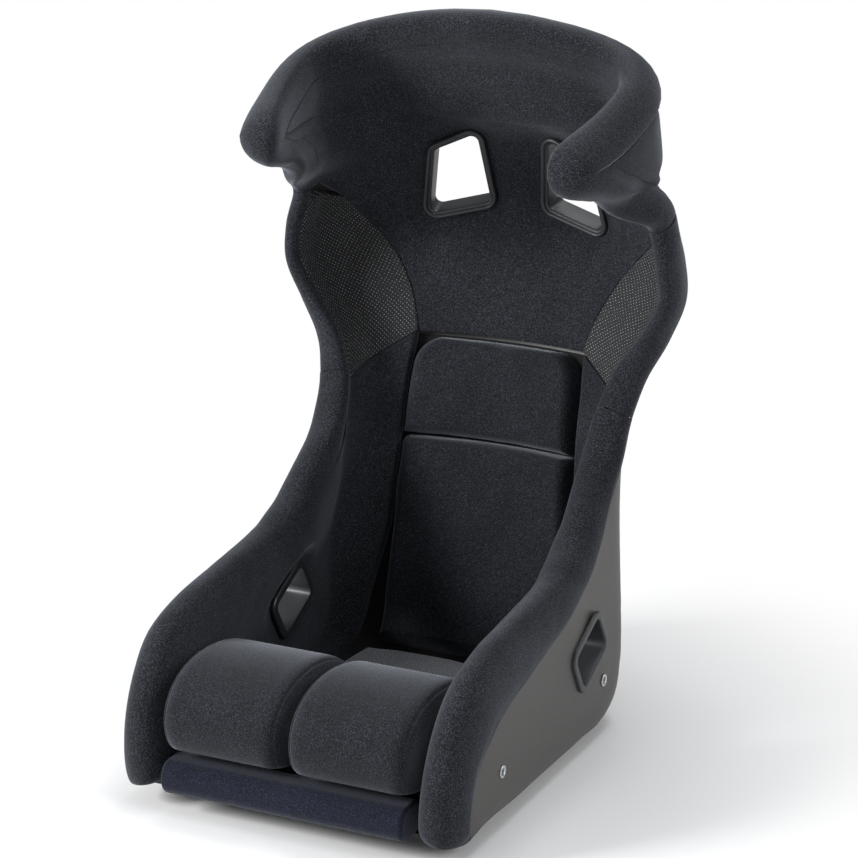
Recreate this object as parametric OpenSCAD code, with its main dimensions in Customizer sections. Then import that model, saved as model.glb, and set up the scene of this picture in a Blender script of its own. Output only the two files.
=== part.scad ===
// Fixed-back competition bucket seat: a one-piece laminated shell with side
// mount inserts, harness slots with bezels, padded rim rolls, fixed side, back
// and head pads, and removable leg and back cushions.
// Millimetres. +Z up, the seat faces -Y, +X is the occupant's left.
// Datum: Y = 0 midway between the side mount holes, Z = 0 at the front sill.

/* [Shell] */
// Wall of the laminated shell
shell_t = 5; // [3.5:0.5:6.5]
// Half width of the shell over the thighs
thigh_half = 212; // [206:1:220]
// Half width of the shell at the waist
waist_half = 203; // [198:1:210]
// Half width of the shell at the shoulders
shoulder_half = 254; // [246:1:262]
// Half width of the shell at the neck
neck_half = 241; // [234:1:248]
// Half width of the head wings where they are widest
wing_half = 225; // [219:1:232]
// How far each wing tip is drawn in toward the middle
wing_toe = 26; // [18:1:34]
// Distance from the mount centre back to the wing tips
wing_tip_y = 56; // [44:1:68]
// Drop of the shell's underside below the front sill
belly_drop = 22; // [18:1:26]
// Rim height over the thighs
thigh_rim_z = 176; // [168:1:184]
// Height of the neck, where the wings start
neck_z = 580; // [570:1:590]
// Height of the wing tips
tip_z = 690; // [682:1:698]
// Height of the shell at the middle of the head
head_z = 803; // [796:1:812]
// Distance from the mount centre back to the deepest part of the back
back_y = 383; // [375:1:391]

/* [Side mounts] */
// Distance between the front and rear mount holes
mount_pitch = 290; // [280:1:300]
// Height of the mount holes above the datum
mount_z = 52; // [46:1:58]
// Thread size of the mount inserts
mount_d = 8; // [6:1:10]
// Outer diameter of each insert's collar
insert_d = 15; // [13:0.5:18]
// Length of each insert's body inside the wall
insert_len = 16; // [12:0.5:20]

/* [Rim rolls] */
// Padding inside the rim over the thighs
roll_in = 46; // [40:1:50]
// How far the roll stands past the shell edge over the thighs
roll_over = 28; // [24:1:32]
// Cover thickness outside the shell over the thighs
cover_t = 5; // [4:0.5:6]
// Padding inside the wing edges
wing_in = 26; // [22:1:30]
// Padding outside the wing edges
wing_out = 20; // [16:1:22]
// Clearance between padding and shell
fit = 0.3; // [0.2:0.05:0.5]
// Width of the seams between padded pieces
seam = 0.5; // [0.4:0.1:0.8]

/* [Pads] */
// Thickness of the side pads
side_pad_t = 22; // [18:1:24]
// Thickness of the shoulder grip panels
grip_t = 16; // [13:1:18]
// Thickness of the back and head panel
panel_t = 15; // [12:1:18]
// Extra thickness at the middle of the head pad
head_extra = 10; // [6:1:14]
// Thickness of the lining behind the cushions
liner_t = 3; // [2:0.5:4]
// Half width of the lining between the side pads
liner_half = 128; // [124:1:132]

/* [Cushions] */
// Thickness of the two back cushions
back_cushion_t = 34; // [28:1:38]
// Half width of the back cushions
back_cushion_half = 124; // [116:1:126]
// Gap between neighbouring cushions
cushion_gap = 4; // [3:0.5:6]
// Width of each leg cushion
leg_w = 150; // [144:1:151]
// Height of the leg cushions' crest above the datum
leg_z = 150; // [140:1:156]
// Half width of the seat pan pad
pan_half = 100; // [90:1:108]
// Height of the seat pan pad's top above the datum
pan_z = 60; // [50:1:66]
// Height of the front sill bar
bar_h = 40; // [36:1:44]

/* [Harness slots] */
// Width of the plastic bezels around the slots
bezel_w = 9.5; // [8:0.5:10.5]
// Corner radius inside the slots
slot_corner = 8.5; // [7:0.5:9.5]
// Thickness of the bezel flanges
bezel_t = 4; // [3:0.5:5]
// Wall of the bezel sleeves
sleeve_t = 2; // [1.6:0.1:2.6]
// Distance between the two shoulder slots, centre to centre
slot_pitch = 158; // [152:1:164]
// Height of the shoulder slots' centre above the datum
slot_z = 598; // [592:1:604]

/* [Hidden] */

// The origin is under the middle of the seat, on the surface it stands on
module place() translate([0, -(back_y - 274 + 9.7) / 2, belly_drop]) children();

// Stations along the seat, from the front sill to the top of the head:
// spine y and z, half width, rim y and z, corner radius, dish, toe-in
bd = -belly_drop;
tz = thigh_rim_z;
by = back_y;
th = thigh_half;
wh = waist_half;
gh = wing_half;
gy = wing_tip_y;
gt = wing_toe;
nz = neck_z;
hz = head_z;
ST = [
  [-236, -2, th - 7, -244, 8, 10, 0, 0],
  [-222, -8, th - 4, -245, 42, 14, 0, 0],
  [-200, bd + 10, th - 2, -236, 84, 24, 0, 0],
  [-170, bd + 7, th - 1, -217, 122, 36, 0, 0],
  [-130, bd + 4, th, -185, tz - 24, 42, 0, 0],
  [-80, bd, th, -135, tz - 9, 44, 0, 0],
  [-20, bd - 0.6, th, -80, tz - 2, 44, 0, 0],
  [45, bd - 0.6, th, -35, tz + 2, 44, 0, 0],
  [108, bd - 0.6, th, 0, tz + 5, 44, 0, 0],
  [168, bd - 0.6, th, 28, tz + 9, 44, 0, 0],
  [215, bd + 12, th - 1, 50, tz + 14, 46, 6, 0],
  [248, 20, th - 3, 70, tz + 21, 54, 14, 0],
  [by - 117, 72, wh + 5, 90, tz + 30, 60, 24, 0],
  [by - 102, 128, wh + 3, 112, tz + 43, 62, 34, 0],
  [by - 88, 184, wh + 1, 137, tz + 64, 60, 46, 0],
  [by - 76, 238, wh - 1, 163, tz + 94, 56, 56, 3],
  [by - 64, 290, wh - 3, 190, 308, 50, 62, 8],
  [by - 52, 342, wh - 2, 214, 352, 42, 62, 9],
  [by - 40, 394, wh + 10, 232, 400, 38, 60, 6],
  [by - 25, 442, shoulder_half - 17, 240, 448, 42, 62, 2],
  [by - 11, 486, shoulder_half, 239, 495, 44, 70, 0],
  [by - 1, 528, shoulder_half - 3, 238, 540, 46, 76, 0],
  [by - 2, 566, neck_half, 244, nz, 46, 78, 0],
  [by - 10, 602, neck_half - 5, 222, nz + 32, 60, 74, 0],
  [by - 18, 635, gh - 4, 168, nz + 58, 80, 56, gt * 0.2],
  [by - 27, 661, gh, 112, tip_z - 31, 95, 42, gt * 0.5],
  [by - 37, 683, gh, gy + 14, tip_z - 17, 102, 30, gt * 0.8],
  [by - 47, 701, gh, gy, tip_z, 105, 22, gt],
  [by - 56, hz - 77, gh, gy, hz - 97, 105, 20, gt],
  [by - 66, hz - 60, gh, gy, hz - 83, 105, 20, gt],
  [by - 76, hz - 43, gh, gy, hz - 65, 105, 20, gt],
  [by - 87, hz - 26, gh, gy, hz - 44, 105, 20, gt],
  [by - 97, hz - 11, gh, gy, hz - 20, 105, 20, gt],
  [by - 104, hz, gh, gy, hz, 105, 20, gt]];
K = len(ST) - 1;

function unit(a) = a / norm(a);
function cr(a, b, c, d, t) = 0.5 * (2 * b + (c - a) * t
  + (2 * a - 5 * b + 4 * c - d) * t * t + (3 * b - a - 3 * c + d) * t * t * t);
// Station values at any place u along the seat
function st(u) = let (i = max(0, min(floor(u), K - 1)), t = u - i,
  b = ST[i], c = ST[i + 1], a = i > 0 ? ST[i - 1] : 2 * b - c,
  d = i < K - 1 ? ST[i + 2] : 2 * c - b) cr(a, b, c, d, t);
// Distance forward from the spine to the rim, and length of half a section
function deep(q) = norm([q[3] - q[0], q[4] - q[1]]);
function half_len(q) = q[2] + deep(q) - q[6] - 2 * q[5] + PI * q[5] / 2;
// Point of the shell's outer face on station q, at the share w of its half length
function fp(q, w) = let (m = deep(q), dd = m - q[6], r = q[5], s = abs(w) * half_len(q),
  f = q[2] - r, g = PI * r / 2, a = (s - f) / r * 180 / PI,
  x = s < f ? s : s < f + g ? f + r * sin(a) : q[2],
  d0 = s < f ? 0 : s < f + g ? r - r * cos(a) : r + s - f - g,
  k = max(0, (d0 - r) / max(1, dd - r)),
  d = d0 + q[6] * pow(x / q[2], 2))
  [sign(w) * (x - q[7] * k * k), q[0] + (q[3] - q[0]) * d / m, q[1] + (q[4] - q[1]) * d / m];
function P(u, w) = fp(st(u), w);
function lim(u) = max(0, min(K, u));
// Directions along and across the shell, and its inward normal
function Pu(u, w) = let (a = lim(u - 0.04), b = lim(u + 0.04)) (P(b, w) - P(a, w)) / (b - a);
function Pw(u, w) = let (q = st(u)) (fp(q, w + 0.006) - fp(q, w - 0.006)) / 0.012;
function nrm(u, w) = unit(cross(Pw(u, w), Pu(u, w)));
// Point at distance d inside the shell's outer face
function Q(u, w, d) = P(u, w) + d * nrm(u, w);
// Share of the half section that the shell keeps: the head's top edge falls
// away on both sides and turns down round the wing tips
function smin(a, b, k) = min(a, b) - pow(max(0, k - abs(a - b)), 2) / (4 * k);
function reach(u) = let (q = st(u), h = max(0, hz - q[1]))
  u >= K ? 0 : smin(1, sqrt(12.5 * (h * h + 62 * h)) / half_len(q), 0.16);
// Share w at which station u is x from the middle
function w_at(u, x) = let (q = st(u), r = q[5], f = q[2] - r)
  (x < f ? x : f + r * asin(min(1, (x - f) / r)) * PI / 180) / half_len(q);

// Rim frame at station t: point, outward direction, normal
function rim(t) = P(t, reach(t));
function rim_n(t) = nrm(t, max(0.001, reach(t)));
function rim_d(t) = let (a = lim(t - 0.05), b = lim(t + 0.05)) unit(rim(b) - rim(a));
function rim_o(t) = t >= K ? unit(cross([-1, 0, 0], rim_n(t))) : unit(cross(rim_d(t), rim_n(t)));
// Steps of g mm inward from the rim, square to it, as places (u, w)
function walk(u, w, o, n, g) = n == 0 ? [[u, w]]
  : let (a = Pu(u, w), b = Pw(u, w), m = unit(cross(b, a)), v = -g * unit(o - (o * m) * m),
    E = a * a, F = a * b, G = b * b, p = v * a, q = v * b, z = E * G - F * F,
    x = max(-3, min(3, (G * p - F * q) / z)))
    concat([[u, w]], walk(u + x, w + (E * q - F * p) / z, o, n - 1, g));
function chain(t, e) = walk(t, max(0.001, reach(t)), rim_o(t), ceil(e / 6) + 1, 6);
function along(c, e) = let (i = min(floor(e / 6), len(c) - 2), f = e / 6 - i)
  c[i] * (1 - f) + c[i + 1] * f;
// Point at a past the rim (negative is inside it) and b off the outer face
function rp(t, c, a, b) = a > 0 ? rim(t) + a * rim_o(t) + b * rim_n(t)
  : let (i = along(c, -a)) Q(i[0], i[1], b);

// Values along the rim: padding inside and outside, overhang, width inside
// and outside, and padding at the inner and outer seams
function roll_h(t) = lookup(t, [[0, roll_in], [13, roll_in], [16, roll_in - 12], [18, 22],
  [20, 17], [22, 17], [24, wing_in - 3], [27, wing_in], [K, wing_in - 2]]);
function roll_o(t) = lookup(t, [[0, cover_t], [21, cover_t], [24, wing_out - 4],
  [27, wing_out], [K, wing_out - 6]]);
function roll_e(t) = lookup(t, [[0, roll_over], [15, roll_over], [18, 20], [20, 17], [22, 18],
  [25, 24], [K, 22]]);
function roll_w(t) = lookup(t, [[0, 52], [15, 50], [18, 32], [20, 24], [22, 24], [24, 22],
  [29, 22], [31, 20], [K, 18]]);
function roll_b(t) = lookup(t, [[0, 20], [1, 20], [2, 25], [3, 40], [4, 47], [5, 42], [6, 34],
  [7, 26], [8, 20], [10, 14], [15, 14], [17, 40], [20, 44], [22, 36], [24, 22], [29, 22], [K, 30]]);
function roll_s(t) = lookup(t, [[0, side_pad_t], [15, side_pad_t], [18, grip_t], [22, grip_t],
  [25, panel_t + 1], [K, panel_t + 1]]);
// How far the crest of the roll leans inward on the wings
function roll_k(t) = lookup(t, [[0, 0], [22, 0], [24, 0.4], [K, 0.4]]);
// Room between the roll and the shell's edge
function roll_f(t) = lookup(t, [[0, 5 * fit], [15, 5 * fit], [16.5, 8 * fit], [23, 9 * fit], [K, 9 * fit]]);
function roll_q(t) = lookup(t, [[0, 3.2], [22, 3.2], [24, 9], [29, 9], [K, 4]]);

// Where the roll's inner edge would cross itself, round the wing tip, it runs
// almost straight between two stations, bowed toward the tip
tip_lo = 24.95;
tip_hi = 28.1;
tip_bow = 0.009;
function inner_at(t, g = 0) = along(chain(t, roll_w(t) + g), roll_w(t) + g);
function bridge(t, a, b, bow) = let (e = (t - tip_lo) / (tip_hi - tip_lo))
  a * (1 - e) + b * e + [0, bow * 4 * e * (1 - e)];
tip_a = inner_at(tip_lo);
tip_b = inner_at(tip_hi);
// Place between the roll's inner edge (x = 0) and its crest (x = 1)
function flank(t, c, a0, x) = t > tip_lo && t < tip_hi
  ? bridge(t, tip_a, tip_b, tip_bow) * (1 - x) + along(c, a0) * x
  : along(c, roll_w(t) + (a0 - roll_w(t)) * x);

// Cross-section of the roll: cover points and the matching inner points
function ease(x) = let (y = max(0, min(1, x))) y * y * (3 - 2 * y);
function sec_out(t) = let (h = roll_h(t), o = roll_o(t), e = roll_e(t), wi = roll_w(t),
  wo = roll_b(t), s = roll_s(t), a0 = min(wi * 0.42, wo * 0.55), n = 2, c = chain(t, max(wi, wo)),
  hf = (shell_t + h + o) / 2, md = (shell_t + h - o) / 2)
  concat([for (j = [0 : n - 1]) let (i = flank(t, c, a0, j / n))
      Q(i[0], i[1], shell_t + s + (h - s) * ease(j / n))],
    [for (j = [0 : 6]) let (f = 90 - 30 * j) rp(t, c, -a0 + (a0 + e) * cos(f),
      md + hf * (sin(f) + roll_k(t) * pow(cos(f), 2)))],
    [for (j = [1 : 2]) rp(t, c, -a0 - (wo - a0) * j / 2, -o + (o - roll_q(t)) * ease(j / 2))]);
function sec_in(t) = let (wi = roll_w(t), wo = roll_b(t), a0 = min(wi * 0.42, wo * 0.55), n = 2,
  T = shell_t, z = roll_f(t), c = chain(t, max(wi, wo)))
  concat([for (j = [0 : n - 1]) let (i = flank(t, c, a0, j / n)) Q(i[0], i[1], T + z)],
    [rp(t, c, -a0, T + z), rp(t, c, -a0 / 2, T + z), rp(t, c, z, T + z),
     rp(t, c, z, T / 2), rp(t, c, z, -z), rp(t, c, -a0 / 2, -z), rp(t, c, -a0, -z)],
    [for (j = [1 : 2]) rp(t, c, -a0 - (wo - a0) * j / 2, -z)]);

// Closed solid between two grids of points, A outside and B inside
module sheet(A, B) {
  r = len(A);
  c = len(A[0]);
  n = r * c;
  pts = [for (g = [A, B]) for (row = g) for (p = row) p];
  function id(g, i, j) = g * n + i * c + j;
  function quad(a, b, d, e) = [[a, b, d], [a, d, e]];
  // Each patch is split along the diagonal that keeps the solid thinner
  function thin(a, b, d, e, v) = (pts[a] + pts[d] - pts[b] - pts[e]) * v > 0 ? quad(a, b, d, e) : quad(b, d, e, a);
  faces = [for (i = [0 : r - 2]) for (j = [0 : c - 2]) let (v = pts[id(1, i, j)] - pts[id(0, i, j)])
      for (f = thin(id(0, i, j), id(0, i + 1, j), id(0, i + 1, j + 1), id(0, i, j + 1), v)) f,
    for (i = [0 : r - 2]) for (j = [0 : c - 2]) let (v = pts[id(0, i, j)] - pts[id(1, i, j)])
      for (f = thin(id(1, i, j), id(1, i, j + 1), id(1, i + 1, j + 1), id(1, i + 1, j), v)) f,
    for (i = [0 : r - 2]) let (v = pts[id(0, i, 1)] - pts[id(0, i, 0)])
      for (f = thin(id(0, i, 0), id(1, i, 0), id(1, i + 1, 0), id(0, i + 1, 0), v)) f,
    for (i = [0 : r - 2]) let (v = pts[id(0, i, c - 2)] - pts[id(0, i, c - 1)])
      for (f = thin(id(0, i, c - 1), id(0, i + 1, c - 1), id(1, i + 1, c - 1), id(1, i, c - 1), v)) f,
    for (j = [0 : c - 2]) let (v = pts[id(0, 1, j)] - pts[id(0, 0, j)])
      for (f = thin(id(0, 0, j), id(0, 0, j + 1), id(1, 0, j + 1), id(1, 0, j), v)) f,
    for (j = [0 : c - 2]) let (v = pts[id(0, r - 2, j)] - pts[id(0, r - 1, j)])
      for (f = thin(id(0, r - 1, j), id(1, r - 1, j), id(1, r - 1, j + 1), id(0, r - 1, j + 1), v)) f];
  polyhedron(pts, faces, convexity = 10);
}
function steps(a, b, n) = [for (i = [0 : n]) a + (b - a) * i / n];
function flip(g) = [for (row = g) [for (p = row) [-p[0], p[1], p[2]]]];
function back(g) = [for (i = [len(g) - 1 : -1 : 0]) g[i]];
// Pad over rows of places (u, w): h(i, j) gives its cover height as a grid H
module pad(G, H, base) sheet([for (i = [0 : len(G) - 1]) [for (j = [0 : len(G[0]) - 1])
    Q(G[i][j][0], G[i][j][1], H[i][j])]],
  [for (i = [0 : len(G) - 1]) [for (j = [0 : len(G[0]) - 1]) Q(G[i][j][0], G[i][j][1], base)]]);

// Harness slots. Shoulder slot frame: square to the shell at the slot's middle
sx = slot_pitch / 2;
function z_u(z, a, b, n) = n == 0 ? (a + b) / 2 : let (m = (a + b) / 2)
  P(m, w_at(m, sx))[2] < z ? z_u(z, m, b, n - 1) : z_u(z, a, m, n - 1);
su = z_u(slot_z, 18, 27, 24);
sw = w_at(su, sx);
s_o = P(su, sw);
s_n = nrm(su, sw);
s_e = unit(Pw(su, sw) - (Pw(su, sw) * s_n) * s_n);
s_f = cross(s_n, s_e);
module slot_frame() multmatrix([[s_e[0], s_f[0], s_n[0], s_o[0]], [s_e[1], s_f[1], s_n[1], s_o[1]],
  [s_e[2], s_f[2], s_n[2], s_o[2]]]) children();
// Corner centres of a shoulder slot, outward and up from its middle
slot_pts = [[-18, 46], [-30, -26], [29, -43], [21, 27]];
// Lap slot: frame on the side wall, corner centres back and up
lap_y = 99;
lap_z = 105;
lap_pts = [[15, 27], [32, -2], [-17, -26], [-34, 3]];
lap_x = P(9, 0.8)[0];
module lap_frame() translate([lap_x, lap_y, lap_z]) rotate([90, 0, 90]) children();
slot_r = slot_corner;
module blob(pts, r) hull() for (p = pts) translate(p) circle(r, $fn = 16);
module slug(pts, r, a, b) translate([0, 0, a]) linear_extrude(b - a) blob(pts, r);
module ring(pts, r, r2, a, b) translate([0, 0, a]) linear_extrude(b - a) difference() {
  blob(pts, r2);
  blob(pts, r);
}
// Radii of the sleeve, of the opening it goes through, and of the flanges
hole_r = slot_r + sleeve_t + 2 * fit;
flange_r = slot_r + bezel_w;
module both() {
  children();
  mirror([1, 0, 0]) children();
}

// Rows of the shell
shell_us = concat([0, 0.35, 0.75, 1.2, 1.8, 2.5, 3.3, 4.2, 5.2, 6.4, 8, 9, 9.6, 10, 10.45],
  steps(10.9, 12.7, 4), steps(13.6, 20.8, 8), steps(21.6, 28.8, 9), [29.6, 30.4, 31.1, 31.7, 32.2, 32.6, 32.85]);
// Columns of a section: even over the floor, the corner and the wall
function cols(u) = let (q = st(u), L = half_len(q), m = reach(u) * L, f = q[2] - q[5], g = f + PI * q[5] / 2,
  a = min(f, 0.45 * m), b = min(g, 0.8 * m))
  [for (s = concat([for (i = [0 : 3]) a * i / 4], [for (i = [0 : 3]) a + (b - a) * i / 4],
    [for (i = [0 : 3]) b + (m - b) * i / 3])) s / L];
function full(c) = concat([for (i = [len(c) - 1 : -1 : 1]) -c[i]], c);
// Rows of the shell that lie between two stations
function rows_in(a, b) = [for (u = shell_us) if (u > a && u < b) u];
module mount_holes(r, a, b) both() for (y = [-1, 1])
  translate([a, y * mount_pitch / 2, mount_z]) rotate([0, 90, 0]) cylinder(b - a, r, r, $fn = 20);
module shell() color("#56524f") difference() {
  sheet([for (u = shell_us) [for (w = full(cols(u))) Q(u, w, shell_t)]],
    [for (u = shell_us) [for (w = full(cols(u))) P(u, w)]]);
  both() slot_frame() slug(slot_pts, hole_r, -12, 20);
  both() lap_frame() slug(lap_pts, hole_r, -20, 20);
  mount_holes(mount_d / 2 + 2.2, th - 30, th + 10);
  // The belly is flat where the seat stands
  translate([-th, -100, bd - 10]) cube([2 * th, 320, 10]);
}
module mount_inserts() color("#c8ccd0") both() for (y = [-1, 1])
  translate([th, y * mount_pitch / 2, mount_z]) rotate([0, 90, 0]) difference() {
    union() {
      translate([0, 0, -insert_len]) cylinder(insert_len + 1, mount_d / 2 + 2, mount_d / 2 + 2, $fn = 6);
      translate([0, 0, fit]) cylinder(1.2, insert_d / 2, insert_d / 2, $fn = 20);
    }
    translate([0, 0, -insert_len - 1]) cylinder(insert_len + 5, mount_d / 2, mount_d / 2, $fn = 20);
  }

module roll_strip(ts) sheet([for (t = ts) sec_out(t)], [for (t = ts) sec_in(t)]);
t_split = 17.2;
t_neck = 22.3;
roll_ts = concat(steps(0.25, 4, 6), steps(4.9, t_split, 12));
shoulder_ts = steps(t_split + 0.08, t_neck, 8);
head_ts = concat(steps(t_neck + 0.05, 24.2, 4), [24.6], steps(tip_lo, tip_hi, 5),
  [28.6, 29.25, 29.9, 30.6, 31.3, 32, 32.6]);
module roll_right() color("#1a1b1f") mirror([1, 0, 0]) roll_strip(roll_ts);
module roll_left() color("#1a1b1f") roll_strip(roll_ts);
module shoulder_roll_right() color("#1e1f24") mirror([1, 0, 0]) roll_strip(shoulder_ts);
module shoulder_roll_left() color("#1e1f24") roll_strip(shoulder_ts);
module head_roll() color("#212227") {
  A = [for (t = head_ts) sec_out(t)];
  B = [for (t = head_ts) sec_in(t)];
  top_a = [for (p = sec_out(K)) [0, p[1], p[2]]];
  top_b = [for (p = sec_in(K)) [0, p[1], p[2]]];
  sheet(concat(A, [top_a], back(flip(A))), concat(B, [top_b], back(flip(B))));
}
// Inner edge of the rolls, and inner edge of the side pads and grip panels
head_seam = 2.8 * seam;
seam_a = inner_at(tip_lo, head_seam);
seam_b = inner_at(tip_hi, head_seam);
function edge(t) = t > tip_lo && t < tip_hi ? bridge(t, seam_a, seam_b, -tip_bow / 2)
  : inner_at(t, t > t_neck ? head_seam : seam);
function in_x(u) = lookup(u, [[0, th - 36], [9, th - 40], [12, 146], [13.5, liner_half],
  [17, liner_half - 6], [18, 116], [19, 130], [20, 156], [21, 193], [22, 226]]);
function row_u(t) = t + 0.8 * ease((t - 13) / 4.2) * (1 - ease((t - 18) / 4));
function side_row(t, n) = let (b = edge(t), u = row_u(t), a = [u, w_at(u, in_x(u))])
  [for (j = [0 : n]) a + (b - a) * j / n];
// Bedding between the shell and the pads glued to it
bed = shell_t + 6 * fit;
side_ts = [for (t = roll_ts) if (t > 3) t];
module side_pad() {
  n = 3;
  G = [for (t = side_ts) side_row(t, n)];
  H = [for (i = [0 : len(side_ts) - 1]) [for (j = [0 : n])
    bed + (side_pad_t - 6 * fit) * (j == 0 ? 0.55 : 1) * (i == 0 ? 0.5 : 1)]];
  difference() {
    pad(G, H, bed);
    lap_frame() slug(lap_pts, hole_r, -60, 20);
    for (y = [-1, 1]) translate([th - 60, y * mount_pitch / 2, mount_z]) rotate([0, 90, 0])
      cylinder(60, mount_d / 2 + 2.8, mount_d / 2 + 2.8, $fn = 8);
  }
}
module side_pad_left() color("#17181b") side_pad();
module side_pad_right() color("#17181b") mirror([1, 0, 0]) side_pad();
grip_ts = concat([t_split + 0.1], [for (t = shoulder_ts) if (t > t_split + 0.2 && t < 22) t]);
module grip() {
  n = 4;
  G = [for (t = grip_ts) side_row(t, n)];
  H = [for (i = [0 : len(grip_ts) - 1]) [for (j = [0 : n]) shell_t + grip_t * (j == 0 ? 0.8 : 1)]];
  pad(G, H, bed);
}
module grip_left() color("#101010") grip();
module grip_right() color("#101010") mirror([1, 0, 0]) grip();
// Back and head panel
low_us = concat([18.02], [for (t = grip_ts) if (row_u(t) > 18.2) row_u(t)]);
module back_panel() color("#17181b") {
  up = [for (t = head_ts) edge(t)];
  rows = concat([for (u = low_us) [u, w_at(u, in_x(u) - seam)]], [for (i = [0 : len(up) - 1]) if (up[i][0] > 22.1) up[i]],
    [edge(K)]);
  n = 5;
  G = [for (r = rows) [for (j = [-n : n]) [r[0], max(0.003, r[1]) * j / n]]];
  H = [for (g = G) [for (p = g) let (q = P(p[0], p[1])) shell_t + panel_t
    + head_extra * ease((q[2] - 645) / 60) * ease((hz - 33 - q[2]) / 40) * ease((170 - abs(q[0])) / 90)]];
  difference() {
    pad(G, H, bed);
    both() slot_frame() slug(slot_pts, hole_r, -20, 90);
    both() slot_frame() slug(slot_pts, flange_r + fit, shell_t + panel_t - 3, 90);
  }
}
// Padded panel on the outside of each wing, from the roll's seam round to the rear
wing_ts = [23, 23.7, 24.4, 25.1, 27.85, 28.4, 29.2, 30];
wing_rear = 168;
wing_bed = 8 * fit;
function outer_edge(t) = along(chain(t, roll_b(t) + seam), roll_b(t) + seam);
module wing_panel() {
  n = 6;
  G = [for (t = wing_ts) let (a = outer_edge(t), b = [a[0], w_at(a[0], wing_rear)])
    [for (j = [0 : n]) a + (b - a) * j / n]];
  m = len(wing_ts) - 1;
  sheet([for (i = [0 : m]) [for (j = [0 : n]) Q(G[i][j][0], G[i][j][1],
      -max(wing_bed + 1, roll_q(wing_ts[i]) * (j == n ? 0.4 : i == m ? 0.7 : 1)))]],
    [for (g = G) [for (p = g) Q(p[0], p[1], -wing_bed)]]);
}
module wing_panel_left() color("#1d1e22") wing_panel();
module wing_panel_right() color("#1d1e22") mirror([1, 0, 0]) wing_panel();
module liner() color("#0d0d0e") {
  us = [for (u = concat([0.75], rows_in(0.8, 17.9), [17.95])) u];
  n = 4;
  G = [for (u = us) [for (j = [-n : n]) [u, w_at(u, in_x(u) - seam) * j / n]]];
  H = [for (g = G) [for (p = g) bed + liner_t]];
  pad(G, H, bed);
}
// Where the loose cushions lie, clear of the lining
base_b = bed + liner_t + 4 * fit;
module pan_pad() color("#2c2d30") {
  xs = [-pan_half, -pan_half + 3, -pan_half + 10, -pan_half + 26, -40, 0, 40, pan_half - 26, pan_half - 10, pan_half - 3, pan_half];
  ys = [-40, -37, -28, 0, 40, 84, 106, 113, 116];
  fl = bd + base_b - 3 * fit;
  A = [for (y = ys) [for (x = xs) let (ex = pan_half - abs(x), ey = min(y + 40, 116 - y), e = min(ex, ey))
    [x, y, fl + (pan_z - fl) * (e <= 0 ? 0.72 : e < 5 ? 0.9 : e < 14 ? 0.97 : 1)]]];
  B = [for (y = ys) [for (x = xs) [x, y, fl]]];
  sheet(A, B);
}
// The bar lies on the shell's front sill
bar_y = -262;
bar_r = 12;
bar_rear = -220;
sill_z = 2.7;
module front_bar() color("#15171f") {
  hw = th - 7 - shell_t - roll_in - 3;
  hull() for (y = [bar_y, bar_rear - bar_r], z = [sill_z + bar_r, sill_z + bar_h - bar_r])
    translate([-hw, y, z]) rotate([0, 90, 0]) cylinder(2 * hw, bar_r, bar_r, $fn = 32);
}
// Room beside the back cushions
side_gap = 2.5;
// Back cushions: grid over the lining between two stations, crowned, with
// drawn-in sides and rounded upper corners
module back_cushion(u0, u1, rc) {
  us = concat([u0, u0 + 0.07, u0 + 0.2], rows_in(u0 + 0.4, u1 - 0.45), [u1 - 0.26, u1 - 0.08, u1]);
  xs = [for (f = [0, 0.02, 0.06, 0.14, 0.28, 0.42, 0.5, 0.58, 0.72, 0.86, 0.94, 0.98, 1]) 2 * f - 1];
  hgt = norm(P(u1, 0) - P(u0, 0));
  function ex(u) = let (d = (u1 - u) / (u1 - u0) * hgt, a = min(back_cushion_half, in_x(u) - side_gap))
    d < rc ? a - rc + sqrt(rc * rc - pow(rc - d, 2)) : a;
  G = [for (u = us) [for (x = xs) [u, sign(x) * w_at(u, abs(x) * ex(u))]]];
  H = [for (i = [0 : len(us) - 1]) [for (j = [0 : len(xs) - 1])
    let (a = min(i, len(us) - 1 - i), b = min(j, len(xs) - 1 - j), e = min(a, b),
      c = 1 - 0.14 * pow(xs[j], 2))
    base_b + back_cushion_t * (e == 0 ? 0.55 : e == 1 ? 0.8 : e == 2 ? 0.93 : 1) * c]];
  pad(G, H, base_b);
}
u_mid = 15.58;
module cushion_lower() color("#1f2024") back_cushion(10.9, u_mid, 10);
module cushion_upper() color("#1f2024") back_cushion(u_mid + cushion_gap / 52, 17.9, 34);
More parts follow.
